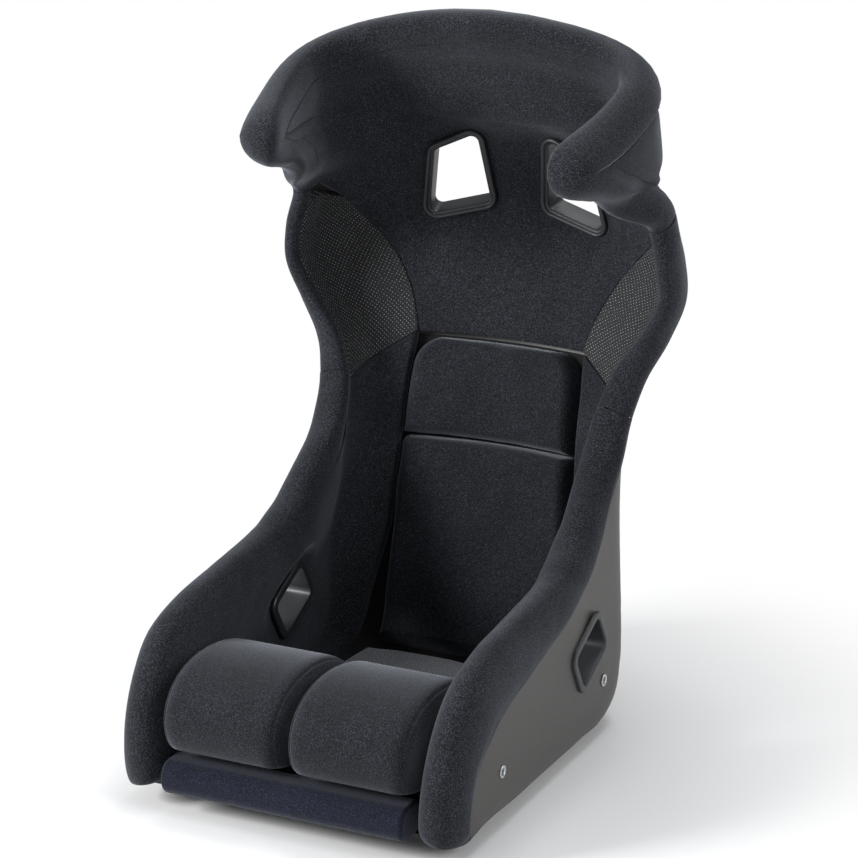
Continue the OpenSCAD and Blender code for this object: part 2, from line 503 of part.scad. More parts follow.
// Leg cushion: side profile from the bottom front round over the crest
leg_prof = concat([[-214, 12], [-216, 34], [-224, 47], [-258, 56], [-271, 84], [-266, 112], [-245, 134],
  [-215, 146], [-180, 150], [-145, 147], [-110, 137], [-78, 118], [-56, 90], [-47, 55], [-45, 20]],
  [for (u = [5.5, 5.2, 4.2, 3.3, 2.5, 2]) let (q = Q(u, 0, base_b - 2 * fit)) [q[1], q[2]]]);
module leg_cushion() {
  xs = [0, 2, 8, 20, 42, 75, 108, 130, 142, 148, 150];
  c = [-150, 66];
  k = leg_w / 150;
  function s(x) = let (e = min(x, 150 - x)) e <= 0 ? 0.8 : e <= 2 ? 0.89 : e <= 8 ? 0.955 : e <= 20 ? 0.99 : 1;
  rings = [for (x = xs) [for (p = leg_prof) let (f = s(x))
    [4 + x * k, c[0] + (p[0] - c[0]) * f, c[1] + (p[1] * (p[1] > 100 ? leg_z / 150 : 1) - c[1]) * f]]];
  n = len(leg_prof);
  m = len(xs);
  polyhedron(concat([for (r = rings) for (p = r) p], [[4, c[0], c[1]], [4 + leg_w, c[0], c[1]]]),
    concat([for (i = [0 : m - 2]) for (j = [0 : n - 1]) let (j2 = (j + 1) % n)
        for (f = [[i * n + j, i * n + j2, (i + 1) * n + j2], [i * n + j, (i + 1) * n + j2, (i + 1) * n + j]]) f],
      [for (j = [0 : n - 1]) [m * n, (j + 1) % n, j]],
      [for (j = [0 : n - 1]) [m * n + 1, (m - 1) * n + j, (m - 1) * n + (j + 1) % n]]), convexity = 6);
}
module leg_cushion_left() color("#25262a") leg_cushion();
module leg_cushion_right() color("#25262a") mirror([1, 0, 0]) leg_cushion();

// Bezels
bz = shell_t + panel_t - 3 + fit;
module slot_bezel() color("#101113") slot_frame() {
  ring(slot_pts, slot_r, flange_r, bz, bz + bezel_t + 3);
  ring(slot_pts, slot_r, slot_r + sleeve_t, -8, bz + 1);
}
module slot_bezel_left() slot_bezel();
module slot_bezel_right() mirror([1, 0, 0]) slot_bezel();
module patch(u0, u1, w0, w1, d0, d1) {
  G = [for (u = steps(u0, u1, 5)) [for (w = steps(w0, w1, 5)) [u, w]]];
  sheet([for (g = G) [for (p = g) Q(p[0], p[1], d1)]], [for (g = G) [for (p = g) Q(p[0], p[1], d0)]]);
}
module slot_back() color("#101113") difference() {
  slot_frame() ring(slot_pts, slot_r + sleeve_t + fit, flange_r, -10, 10);
  patch(su - 3.6, su + 3.6, w_at(su, sx - 66), w_at(su, sx + 66), -8 * fit, 40);
}
module slot_back_left() slot_back();
module slot_back_right() mirror([1, 0, 0]) slot_back();
module lap_bezel() color("#101113") {
  lap_frame() ring(lap_pts, slot_r, flange_r, fit, fit + bezel_t);
  lap_frame() ring(lap_pts, slot_r, slot_r + sleeve_t, -shell_t - side_pad_t - bezel_t - 10 * fit, fit + 1);
}
module lap_bezel_left() lap_bezel();
module lap_bezel_right() mirror([1, 0, 0]) lap_bezel();
module lap_inner() color("#101113") lap_frame()
  ring(lap_pts, slot_r + sleeve_t + fit, flange_r, -shell_t - side_pad_t - bezel_t - 10 * fit, -shell_t - side_pad_t - 10 * fit);
module lap_inner_left() lap_inner();
module lap_inner_right() mirror([1, 0, 0]) lap_inner();

place() shell();
place() mount_inserts();
place() roll_left();
place() roll_right();
place() side_pad_left();
place() side_pad_right();
place() shoulder_roll_left();
place() shoulder_roll_right();
place() grip_left();
place() grip_right();
place() head_roll();
place() wing_panel_left();
place() wing_panel_right();
place() back_panel();
place() liner();
place() pan_pad();
place() front_bar();
place() cushion_upper();
place() cushion_lower();
place() leg_cushion_left();
place() leg_cushion_right();
place() slot_bezel_left();
place() slot_bezel_right();
place() slot_back_left();
place() slot_back_right();
place() lap_bezel_left();
place() lap_bezel_right();
place() lap_inner_left();
place() lap_inner_right();
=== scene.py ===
"""Looks of a fixed-back competition seat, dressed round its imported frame.

The covers follow the same lofted surface as the shell: stations along the
seat, shares across it, and a walk inward from the rim. Sizes inside this file
are millimetres in the maker's axes and become metres in the frame at the end.
"""
import math

import bmesh
import bpy
import numpy as np
from mathutils import Matrix, Vector


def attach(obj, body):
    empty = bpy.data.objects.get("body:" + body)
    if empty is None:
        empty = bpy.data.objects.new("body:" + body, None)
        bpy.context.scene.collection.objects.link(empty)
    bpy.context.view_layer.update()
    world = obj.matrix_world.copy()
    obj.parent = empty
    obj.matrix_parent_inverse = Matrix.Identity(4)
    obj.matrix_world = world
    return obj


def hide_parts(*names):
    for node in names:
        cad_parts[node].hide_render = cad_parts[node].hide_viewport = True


bl_info = {
    "name": "Competition seat looks",
    "version": (1, 0, 0),
    "blender": (4, 5, 0),
    "location": "View3D > Sidebar > Seat",
    "description": "Shell, covers, cushions, bezels and studio of a fixed-back seat",
    "category": "Object",
}

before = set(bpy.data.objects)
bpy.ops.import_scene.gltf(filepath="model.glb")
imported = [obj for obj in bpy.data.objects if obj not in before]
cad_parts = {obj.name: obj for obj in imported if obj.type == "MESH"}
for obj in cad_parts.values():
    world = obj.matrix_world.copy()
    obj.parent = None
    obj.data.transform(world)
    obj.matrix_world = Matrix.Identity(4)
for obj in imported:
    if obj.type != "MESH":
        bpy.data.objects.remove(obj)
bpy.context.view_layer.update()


def tone(text):
    """Linear RGBA of an sRGB hex colour."""
    parts = [int(text[i:i + 2], 16) / 255 for i in (1, 3, 5)]
    line = [c / 12.92 if c <= 0.04045 else ((c + 0.055) / 1.055) ** 2.4 for c in parts]
    return (*line, 1.0)


# ---------------------------------------------------------------- sizes, mm

SHELL_T = 5.0
BELLY = -22.0
THIGH, WAIST, SHOULDER, NECK, WING = 212.0, 203.0, 254.0, 241.0, 225.0
TOE, TIP_Y, RIM_Z, NECK_Z, TIP_Z, HEAD_Z, BACK_Y = 26.0, 56.0, 176.0, 580.0, 690.0, 803.0, 383.0
MOUNT_PITCH, MOUNT_Z, MOUNT_D, INSERT_D, INSERT_LEN = 290.0, 52.0, 8.0, 15.0, 16.0
ROLL_IN, ROLL_OVER, COVER_T, WING_IN, WING_OUT = 46.0, 28.0, 5.0, 26.0, 20.0
FIT, SEAM = 0.3, 0.5
SIDE_T, GRIP_T, PANEL_T, HEAD_EXTRA, LINER_T, LINER_HALF = 22.0, 16.0, 15.0, 10.0, 3.0, 128.0
CUSHION_T, CUSHION_HALF, GAP, LEG_W = 34.0, 124.0, 4.0, 150.0
ROLL_END = 13.0
PAN_HALF, PAN_Z, PAN_FRONT, PAN_REAR, PAN_EDGE = 100.0, 60.0, -40.0, 127.0, 16.0
BAR_H, BAR_R, BAR_FRONT, BAR_REAR, SILL_Z = 40.0, 17.5, -274.0, -220.0, 2.7
BEZEL_W, CORNER, BEZEL_T, SLEEVE_T, SLOT_PITCH, SLOT_Z = 9.5, 8.5, 4.0, 2.0, 158.0, 598.0
LAP_Y, LAP_Z, RING_DEPTH, THREAD_PITCH = 99.0, 105.0, 9.7, 1.25
# Step of the walk inward from the rim, and how far it goes on the upper and lower covers
STEP, WALK, WALK_LOW = 6, 54, 60
OFFSET = np.array([0.0, -(BACK_Y + BAR_FRONT + RING_DEPTH) / 2, -BELLY])

# Stations: spine y and z, half width, rim y and z, corner radius, dish, toe-in
ST = np.array([
    [-236, -2, THIGH - 7, -244, 8, 10, 0, 0],
    [-222, -8, THIGH - 4, -245, 42, 14, 0, 0],
    [-200, BELLY + 10, THIGH - 2, -236, 84, 24, 0, 0],
    [-170, BELLY + 7, THIGH - 1, -217, 122, 36, 0, 0],
    [-130, BELLY + 4, THIGH, -185, RIM_Z - 24, 42, 0, 0],
    [-80, BELLY, THIGH, -135, RIM_Z - 9, 44, 0, 0],
    [-20, BELLY - 0.6, THIGH, -80, RIM_Z - 2, 44, 0, 0],
    [45, BELLY - 0.6, THIGH, -35, RIM_Z + 2, 44, 0, 0],
    [108, BELLY - 0.6, THIGH, 0, RIM_Z + 5, 44, 0, 0],
    [168, BELLY - 0.6, THIGH, 28, RIM_Z + 9, 44, 0, 0],
    [215, BELLY + 12, THIGH - 1, 50, RIM_Z + 14, 46, 6, 0],
    [248, 20, THIGH - 3, 70, RIM_Z + 21, 54, 14, 0],
    [BACK_Y - 117, 72, WAIST + 5, 90, RIM_Z + 30, 60, 24, 0],
    [BACK_Y - 102, 128, WAIST + 3, 112, RIM_Z + 43, 62, 34, 0],
    [BACK_Y - 88, 184, WAIST + 1, 137, RIM_Z + 64, 60, 46, 0],
    [BACK_Y - 76, 238, WAIST - 1, 163, RIM_Z + 94, 56, 56, 3],
    [BACK_Y - 64, 290, WAIST - 3, 190, 308, 50, 62, 8],
    [BACK_Y - 52, 342, WAIST - 2, 214, 352, 42, 62, 9],
    [BACK_Y - 40, 394, WAIST + 10, 232, 400, 38, 60, 6],
    [BACK_Y - 25, 442, SHOULDER - 17, 240, 448, 42, 62, 2],
    [BACK_Y - 11, 486, SHOULDER, 239, 495, 44, 70, 0],
    [BACK_Y - 1, 528, SHOULDER - 3, 238, 540, 46, 76, 0],
    [BACK_Y - 2, 566, NECK, 244, NECK_Z, 46, 78, 0],
    [BACK_Y - 10, 602, NECK - 5, 222, NECK_Z + 32, 60, 74, 0],
    [BACK_Y - 18, 635, WING - 4, 168, NECK_Z + 58, 80, 56, TOE * 0.2],
    [BACK_Y - 27, 661, WING, 112, TIP_Z - 31, 95, 42, TOE * 0.5],
    [BACK_Y - 37, 683, WING, TIP_Y + 14, TIP_Z - 17, 102, 30, TOE * 0.8],
    [BACK_Y - 47, 701, WING, TIP_Y, TIP_Z, 105, 22, TOE],
    [BACK_Y - 56, HEAD_Z - 77, WING, TIP_Y, HEAD_Z - 97, 105, 20, TOE],
    [BACK_Y - 66, HEAD_Z - 60, WING, TIP_Y, HEAD_Z - 83, 105, 20, TOE],
    [BACK_Y - 76, HEAD_Z - 43, WING, TIP_Y, HEAD_Z - 65, 105, 20, TOE],
    [BACK_Y - 87, HEAD_Z - 26, WING, TIP_Y, HEAD_Z - 44, 105, 20, TOE],
    [BACK_Y - 97, HEAD_Z - 11, WING, TIP_Y, HEAD_Z - 20, 105, 20, TOE],
    [BACK_Y - 104, HEAD_Z, WING, TIP_Y, HEAD_Z, 105, 20, TOE]], float)
K = len(ST) - 1
BED = SHELL_T + 6 * FIT
T_SPLIT, T_NECK = 17.2, 22.3
# Degrees past the crest at which the dotted cover meets the velour strip
GRIP_TURN = 38.0
# Stations of the back cushions' lower edge, parting line and upper edge
CUSHION_LOW, CUSHION_SPLIT, CUSHION_TOP = 10.55, 15.58, 17.9
# Radius of a slot's hole round its sleeve, and of the hole round an insert
HOLE_R, INSERT_HOLE_R = CORNER + SLEEVE_T + 2 * FIT, 6.2
# Columns of the roll that the slope up to its crest takes the place of
SLOPE_COLS = 10
SIDES = (("left", False), ("right", True))
CAMERA_AT, CAMERA_TURN, CAMERA_RISE, LENS = (1.4608, -2.97323, 1.45046), 25.8, 17.87, 125.87
LOOK_AT = (0, 0, 0.42)

# ------------------------------------------------------- the seat's surface


def unit(a):
    return a / np.maximum(np.linalg.norm(a, axis=-1, keepdims=True), 1e-12)


def dot(a, b):
    return (a * b).sum(-1)


def ease(x):
    y = np.clip(x, 0, 1)
    return y * y * (3 - 2 * y)


def spline(a, b, c, d, t):
    """Catmull-Rom value between b and c."""
    return 0.5 * (2 * b + (c - a) * t + (2 * a - 5 * b + 4 * c - d) * t * t
                  + (3 * b - a - 3 * c + d) * t ** 3)


def station(u):
    u = np.asarray(u, float)
    i = np.clip(np.floor(u), 0, K - 1).astype(int)
    t = (u - i)[..., None]
    b, c = ST[i], ST[i + 1]
    a = np.where((i > 0)[..., None], ST[np.maximum(i - 1, 0)], 2 * b - c)
    d = np.where((i < K - 1)[..., None], ST[np.minimum(i + 2, K)], 2 * c - b)
    return spline(a, b, c, d, t)


def half_len(q):
    m = np.hypot(q[..., 3] - q[..., 0], q[..., 4] - q[..., 1])
    return q[..., 2] + m - q[..., 6] - 2 * q[..., 5] + math.pi * q[..., 5] / 2


def outer(u, w):
    """Point of the shell's outer face at station u and share w of the half section."""
    u, w = np.broadcast_arrays(np.asarray(u, float), np.asarray(w, float))
    q = station(u)
    m = np.hypot(q[..., 3] - q[..., 0], q[..., 4] - q[..., 1])
    dish, r = q[..., 6], q[..., 5]
    s = np.abs(w) * half_len(q)
    f, g = q[..., 2] - r, math.pi * r / 2
    a = (s - f) / r
    x = np.where(s < f, s, np.where(s < f + g, f + r * np.sin(a), q[..., 2]))
    d0 = np.where(s < f, 0, np.where(s < f + g, r - r * np.cos(a), r + s - f - g))
    k = np.maximum(0, (d0 - r) / np.maximum(1, m - dish - r))
    d = d0 + dish * (x / q[..., 2]) ** 2
    return np.stack([np.sign(w) * (x - q[..., 7] * k * k),
                     q[..., 0] + (q[..., 3] - q[..., 0]) * d / m,
                     q[..., 1] + (q[..., 4] - q[..., 1]) * d / m], -1)


def along_u(u, w):
    a, b = np.clip(u - 0.04, 0, K), np.clip(u + 0.04, 0, K)
    return (outer(b, w) - outer(a, w)) / (b - a)[..., None]


def along_w(u, w):
    return (outer(u, w + 0.006) - outer(u, w - 0.006)) / 0.012


def inward(u, w):
    """Inward normal of the shell."""
    u, w = np.broadcast_arrays(np.asarray(u, float), np.asarray(w, float))
    return unit(np.cross(along_w(u, w), along_u(u, w)))


def inside(u, w, d):
    """Point at depth d inside the shell's outer face."""
    return outer(u, w) + np.asarray(d)[..., None] * inward(u, w)


def laid(place, d):
    """Points at depth d over a grid of places (u, w)."""
    return inside(place[..., 0], place[..., 1], d)


def reach(u):
    """Share of the half section that the shell keeps, less at the head's top."""
    q = station(u)
    h = np.maximum(0, HEAD_Z - q[..., 1])
    a, k = np.sqrt(12.5 * (h * h + 62 * h)) / half_len(q), 0.16
    got = np.minimum(1, a) - np.maximum(0, k - np.abs(1 - a)) ** 2 / (4 * k)
    return np.where(np.asarray(u) >= K, 0, got)


def share_at(u, x):
    """Share at which station u is x from the middle."""
    q = station(u)
    r = q[..., 5]
    f = q[..., 2] - r
    return np.where(x < f, x, f + r * np.arcsin(np.clip((x - f) / r, 0, 1))) / half_len(q)


def rim(t):
    return outer(t, reach(t))


def rim_in(t):
    return inward(t, np.maximum(0.001, reach(t)))


def rim_out(t):
    a, b = np.clip(t - 0.05, 0, K), np.clip(t + 0.05, 0, K)
    n = rim_in(t)
    side = np.where((t >= K)[..., None], np.array([-1.0, 0, 0]), unit(rim(b) - rim(a)))
    return unit(np.cross(side, n))


def chain(t, far):
    """Places (u, w) stepped inward from the rim, square to it."""
    u, w, o = t.copy(), np.maximum(0.001, reach(t)), rim_out(t)
    out = [np.stack([u, w], -1)]
    for _ in range(int(math.ceil(far / STEP)) + 1):
        a, b = along_u(u, w), along_w(u, w)
        m = unit(np.cross(b, a))
        v = -STEP * unit(o - dot(o, m)[..., None] * m)
        e, f, g, p, q = dot(a, a), dot(a, b), dot(b, b), dot(v, a), dot(v, b)
        z = e * g - f * f
        u = u + np.clip((g * p - f * q) / z, -3, 3)
        w = w + (e * q - f * p) / z
        out.append(np.stack([u, w], -1))
    return np.stack(out, 1)


def along(c, e):
    """Place on each chain at distance e inward; e has one row per chain."""
    i = np.minimum(np.floor(e / STEP), c.shape[1] - 2).astype(int)
    f = (e / STEP - i)[..., None]
    rows = np.arange(len(c))[:, None]
    return c[rows, i] * (1 - f) + c[rows, i + 1] * f


def rim_point(t, c, a, b):
    """Point a past the rim (negative is inside it) and b off the outer face."""
    near = along(c, np.maximum(0, -a))
    flat = laid(near, b)
    o, n, r = rim_out(t)[:, None], rim_in(t)[:, None], rim(t)[:, None]
    past = r + a[..., None] * o + b[..., None] * n
    return np.where((a > 0)[..., None], past, flat)


def table(keys, values, blur=0.55):
    """Value along the rim between the listed stations, with its corners eased."""
    def f(t):
        t = np.asarray(t, float)
        return np.mean([np.interp(t + d, keys, values) for d in np.linspace(-blur, blur, 9)], 0)
    return f


roll_h = table([0, 13, 16, 18, 20, 22, 24, 27, K],
               [ROLL_IN, ROLL_IN, ROLL_IN - 12, 22, 17, 17, WING_IN - 3, WING_IN, WING_IN - 2])
roll_o = table([0, 21, 24, 27, K], [COVER_T, COVER_T, WING_OUT - 4, WING_OUT, WING_OUT - 6])
roll_e = table([0, 15, 18, 20, 22, 25, K], [ROLL_OVER, ROLL_OVER, 20, 17, 18, 24, 22])
roll_w = table([0, 15, 18, 20, 22, 24, 29, 31, K], [52, 50, 32, 24, 24, 22, 22, 20, 18])
roll_b = table([0, 1, 2, 3, 4, 5, 6, 7, 8, 10, 15, 17, 20, 22, 24, 29, K],
               [20, 20, 25, 40, 47, 42, 34, 26, 20, 14, 14, 40, 44, 36, 22, 22, 30])
roll_s = table([0, 15, 18, 22, 25, K], [SIDE_T, SIDE_T, GRIP_T, GRIP_T, PANEL_T + 1, PANEL_T + 1])
roll_k = table([0, 22, 24, K], [0, 0, 0.4, 0.4])
roll_f = table([0, 15, 16.5, 23, K], [5 * FIT, 5 * FIT, 8 * FIT, 9 * FIT, 9 * FIT])
roll_q = table([0, 22, 24, 29, K], [3.2, 3.2, 9, 9, 4])
pad_x = table([0, 9, 12, 13.5, 17, 18, 19, 20, 21, 22],
              [THIGH - 36, THIGH - 40, 146, LINER_HALF, LINER_HALF - 6, 116, 130, 156, 193, 226], 0.2)


def pad_row(t):
    return t + 0.8 * ease((t - 13) / 4.2) * (1 - ease((t - 18) / 4))


def spread(n, lo=0.0, hi=1.0):
    """n + 1 values from lo to hi, closer together near both ends."""
    return lo + (hi - lo) * (0.5 - 0.5 * np.cos(math.pi * np.arange(n + 1) / n))


def lengths(p, axis):
    """Running length of grid p along an axis."""
    d = np.linalg.norm(np.diff(p, axis=axis), axis=-1)
    pad = [(0, 0), (0, 0)]
    pad[axis] = (1, 0)
    return np.pad(np.cumsum(d, axis), pad)


def to_edges(p):
    """Distance of each point of grid p to its first and last row and column."""
    r, c = lengths(p, 0), lengths(p, 1)
    return r, r[-1:] - r, c, c[:, -1:] - c


def turned(d, radius):
    """How far a rounded edge has dropped at distance d from it."""
    return radius * (1 - np.sqrt(np.clip(1 - (1 - np.clip(d / radius, 0, 1)) ** 2, 0, 1)))


def tuck(a, b, r0=0.0, r1=0.0, c0=0.0, c1=0.0):
    """Rounds the edges of cover a over toward its base b: a sewn edge's pull-in."""
    gap = np.linalg.norm(a - b, axis=-1)
    drop = np.zeros(gap.shape)
    for d, radius in zip(to_edges(a), (r0, r1, c0, c1)):
        radius = np.broadcast_to(np.asarray(radius, float), gap.shape)
        drop = np.maximum(drop, np.where(radius > 0, turned(d, np.maximum(radius, 1e-3)), 0))
    return a + (b - a) * np.clip(drop / np.maximum(gap, 1e-6), 0, 0.9)[..., None]


def slack(p, size, height):
    """Soft unevenness of stuffed cloth: slow waves of a few sizes, always the same."""
    k = 2 * math.pi / size
    x, y, z = p[..., 0] * k, p[..., 1] * k, p[..., 2] * k
    a = np.sin(x * 0.93 + 1.7 * np.sin(z * 0.61 + 0.4) + 0.8)
    b = np.sin(y * 0.81 + z * 0.57 + 1.3 * np.sin(x * 0.47 + 2.1))
    c = np.sin((x + y) * 1.61 - z * 1.13 + 2.6 * np.sin(y * 0.33 + 1.1))
    return height * (a * 0.4 + b * 0.4 + c * 0.2)


def facing(p):
    """Normals of grid p."""
    return unit(np.cross(np.gradient(p, axis=0), np.gradient(p, axis=1)))


def swell(p, size, height):
    return p + slack(p, size, height)[..., None] * facing(p)


# ------------------------------------------------------------ mesh building


def to_frame(bm):
    """Moves a bmesh from the maker's millimetres to the frame's metres."""
    for v in bm.verts:
        v.co = (v.co + Vector(OFFSET)) / 1000


def finish_mesh(name, bm, finish, body="seat", stands=(), fill=None, sharp=40.0):
    """Turns a bmesh in millimetres into a piece that rides on its body."""
    material, slot = finish_of(finish)
    bm.verts.ensure_lookup_table()
    to_frame(bm)
    bmesh.ops.remove_doubles(bm, verts=bm.verts, dist=1e-7)
    bmesh.ops.dissolve_degenerate(bm, edges=bm.edges, dist=1e-8)
    bmesh.ops.recalc_face_normals(bm, faces=bm.faces)
    if bm.calc_volume(signed=True) < 0:
        bmesh.ops.reverse_faces(bm, faces=bm.faces)
    mesh = bpy.data.meshes.new(name)
    bm.to_mesh(mesh)
    bm.free()
    mesh.shade_smooth()
    mesh.set_sharp_from_angle(angle=math.radians(sharp))
    mesh.materials.append(material)
    piece = bpy.data.objects.new(name, mesh)
    bpy.context.scene.collection.objects.link(piece)
    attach(piece, body)
    if stands:
        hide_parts(*stands)
    return piece


def lay_grid(bm, points, uv=None, shift=(0.0, 0.0)):
    """A bmesh grid whose vertices take their places from an array of points."""
    rows, cols = points.shape[:2]
    made = bmesh.ops.create_grid(bm, x_segments=rows - 1, y_segments=cols - 1, size=1.0)["verts"]
    place = {}
    for v in made:
        i = round((v.co.x + 1) / 2 * (rows - 1))
        j = round((v.co.y + 1) / 2 * (cols - 1))
        place[v] = (i, j)
    for v, (i, j) in place.items():
        v.co = points[i, j]
    if uv is not None:
        layer = bm.loops.layers.uv.get("UVMap") or bm.loops.layers.uv.new("UVMap")
        for f in {f for v in made for f in v.link_faces}:
            for loop in f.loops:
                i, j = place[loop.vert]
                loop[layer].uv = (uv[i, j, 0] + shift[0], uv[i, j, 1] + shift[1])
    return made


def border(verts):
    return list({e for v in verts for e in v.link_edges if e.is_boundary})


def cloth_uv(p):
    """Map of a cover in metres, measured along its rows and columns from its middle."""
    r, c = lengths(p, 0), lengths(p, 1)
    mid_c, mid_r = p.shape[1] // 2, p.shape[0] // 2
    u = r - r[mid_r:mid_r + 1]
    v = c - c[:, mid_c:mid_c + 1]
    return np.stack([u, v], -1) / 1000


def pillow(name, cover, base, finish, mirror=False, **kw):
    """Closed padded piece between a cover grid and the base grid under it."""
    uv = cloth_uv(cover)
    if mirror:
        cover, base = cover * [-1, 1, 1], base * [-1, 1, 1]
    bm = bmesh.new()
    top = lay_grid(bm, cover, uv)
    low = lay_grid(bm, base, uv)
    bmesh.ops.bridge_loops(bm, edges=border(top) + border(low))
    return finish_mesh(name, bm, finish, **kw)


def tube(name, loops, finish, closed=False, mirror=False, **kw):
    """Piece swept through closed loops: array (sections, points, 3), ends filled."""
    loops = np.concatenate([loops, loops[:, :1]], 1)
    if closed:
        loops = np.concatenate([loops, loops[:1]], 0)
    if mirror:
        loops = loops * [-1, 1, 1]
    bm = bmesh.new()
    verts = lay_grid(bm, loops, cloth_uv(loops))
    bmesh.ops.remove_doubles(bm, verts=verts, dist=1e-5)
    open_edges = [e for e in bm.edges if e.is_boundary]
    if open_edges:
        bmesh.ops.holes_fill(bm, edges=open_edges, sides=0)
    return finish_mesh(name, bm, finish, **kw)


def cut(piece, cutters):
    """Takes the cutters out of a piece and removes them."""
    for i, tool in enumerate(cutters):
        mod = piece.modifiers.new(f"Opening {i}", "BOOLEAN")
        mod.operation = "DIFFERENCE"
        mod.solver = "MANIFOLD"
        mod.object = tool
        bpy.context.view_layer.update()
        ready = piece.evaluated_get(bpy.context.evaluated_depsgraph_get())
        mesh = bpy.data.meshes.new_from_object(ready)
        piece.modifiers.clear()
        old = piece.data
        if len(mesh.vertices) in (0, len(old.vertices)):
            raise RuntimeError(f"{piece.name}: opening {i} was not cut")
        piece.data = mesh
        bpy.data.meshes.remove(old)
        mesh.name = piece.name
        bpy.data.objects.remove(tool)
    return piece


def cutter(loops, mirror=False):
    """A closed tool for cut(), swept through loops."""
    loops = np.concatenate([loops, loops[:, :1]], 1) * ([-1, 1, 1] if mirror else [1, 1, 1])
    bm = bmesh.new()
    verts = lay_grid(bm, loops)
    bmesh.ops.remove_doubles(bm, verts=verts, dist=1e-5)
    caps = bmesh.ops.holes_fill(bm, edges=[e for e in bm.edges if e.is_boundary], sides=0)["faces"]
    bmesh.ops.poke(bm, faces=caps)
    to_frame(bm)
    bmesh.ops.recalc_face_normals(bm, faces=bm.faces)
    mesh = bpy.data.meshes.new("tool")
    bm.to_mesh(mesh)
    bm.free()
    tool = bpy.data.objects.new("tool", mesh)
    bpy.context.scene.collection.objects.link(tool)
    return tool


# ------------------------------------------------------------------- slots


def level_station(z, lo, hi, x):
    """Station between lo and hi whose surface, x from the middle, lies at height z."""
    for _ in range(24):
        mid = (lo + hi) / 2
        if outer(mid, share_at(mid, x))[2] < z:
            lo = mid
        else:
            hi = mid
    return (lo + hi) / 2


SLOT_PTS = np.array([[-18, 46], [-30, -26], [29, -43], [21, 27]], float)
LAP_PTS = np.array([[15, 27], [32, -2], [-17, -26], [-34, 3]], float)
SLOT_X = SLOT_PITCH / 2
SLOT_U = level_station(SLOT_Z, 18.0, 27.0, SLOT_X)
SLOT_W = share_at(SLOT_U, SLOT_X)
SLOT_O = outer(SLOT_U, SLOT_W)
SLOT_N = inward(SLOT_U, SLOT_W)
_across = along_w(np.asarray(SLOT_U), np.asarray(SLOT_W))
SLOT_E = unit(_across - dot(_across, SLOT_N) * SLOT_N)
SLOT_F = np.cross(SLOT_N, SLOT_E)
LAP_O = np.array([outer(9.0, 0.8)[0], LAP_Y, LAP_Z])


def slot_place(x, y, z):
    return SLOT_O + x[..., None] * SLOT_E + y[..., None] * SLOT_F + z[..., None] * SLOT_N


def lap_place(x, y, z):
    return LAP_O + np.stack([z, x, y], -1)


def wound(pts):
    """The corners in counterclockwise order."""
    area = sum(a[0] * b[1] - b[0] * a[1] for a, b in zip(pts, np.roll(pts, -1, 0)))
    return pts[::-1] if area < 0 else pts


def blob(pts, r, arc=8, line=6):
    """Outline round corner centres pts at distance r, always with the same count."""
    pts = wound(pts)
    n = len(pts)
    out = []
    ways = [math.atan2(*(pts[(i + 1) % n] - pts[i])[::-1]) for i in range(n)]
    for i in range(n):
        a0, a1 = ways[i - 1] - math.pi / 2, ways[i] - math.pi / 2
        a1 += 2 * math.pi * math.ceil((a0 - a1) / (2 * math.pi))
        ring = [pts[i] + r * np.array([math.cos(a), math.sin(a)]) for a in np.linspace(a0, a1, arc + 1)]
        out += ring
        last = ring[-1]
        turn = ways[i] - math.pi / 2
        nxt = pts[(i + 1) % n] + r * np.array([math.cos(turn), math.sin(turn)])
        out += [last + (nxt - last) * k / line for k in range(1, line)]
    return np.array(out)


def away(pts, x, y):
    """Distance outside the hull of pts, 0 within it."""
    pts = wound(pts)
    best = np.full(np.shape(x), 1e9)
    within = np.ones(np.shape(x), bool)
    for a, b in zip(pts, np.roll(pts, -1, 0)):
        e = b - a
        k = np.clip(((x - a[0]) * e[0] + (y - a[1]) * e[1]) / (e @ e), 0, 1)
        best = np.minimum(best, np.hypot(x - a[0] - k * e[0], y - a[1] - k * e[1]))
        within &= (e[0] * (y - a[1]) - e[1] * (x - a[0])) >= 0
    return np.where(within, 0, best)


def slot_distance(p):
    """Distance of points from a shoulder slot's corner hull, in the slot's plane."""
    q = np.abs(p * [1, 0, 0]) + p * [0, 1, 1] - SLOT_O
    return away(SLOT_PTS, q @ SLOT_E, q @ SLOT_F)


def swept(pts, profile, place):
    """Loops round an outline: profile lists (distance from the corner hull, height)."""
    loops = [(blob(pts, r), z) for r, z in profile]
    return np.stack([place(o[:, 0], o[:, 1], np.full(len(o), z)) for o, z in loops])


def slug(pts, r, z0, z1, place):
    """Two loops of one radius: a straight hole through a wall."""
    return swept(pts, [(r, z0), (r, z1)], place)


# --------------------------------------------------------------- materials


def add(tree, kind, settings=None, links=None):
    """Adds a node with its settings and links: links maps an input to an output."""
    node = tree.nodes.new(kind)
    for key, value in (settings or {}).items():
        if key in node.inputs:
            node.inputs[key].default_value = value
        else:
            setattr(node, key, value)
    for key, source in (links or {}).items():
        tree.links.new(source, node.inputs[key])
    return node


def blank(name):
    mat = bpy.data.materials.new(name)
    mat.use_nodes = True
    mat.node_tree.nodes.clear()
    return mat, mat.node_tree


def ramp(tree, source, stops):
    node = add(tree, "ShaderNodeValToRGB", links={"Fac": source})
    ends = node.color_ramp.elements
    while len(ends) < len(stops):
        ends.new(0.5)
    for e, (at, colour) in zip(ends, stops):
        e.position = at
        e.color = colour
    return node.outputs["Color"]


def mixed(tree, factor, a, b, blend="MIX"):
    node = add(tree, "ShaderNodeMix", {"data_type": "RGBA", "blend_type": blend})
    for socket, value in ((node.inputs[0], factor), (node.inputs[6], a), (node.inputs[7], b)):
        if hasattr(value, "is_linked"):
            tree.links.new(value, socket)
        else:
            socket.default_value = value
    return node.outputs[2]


def output(tree, shader):
    add(tree, "ShaderNodeOutputMaterial", links={"Surface": shader.outputs[0]})


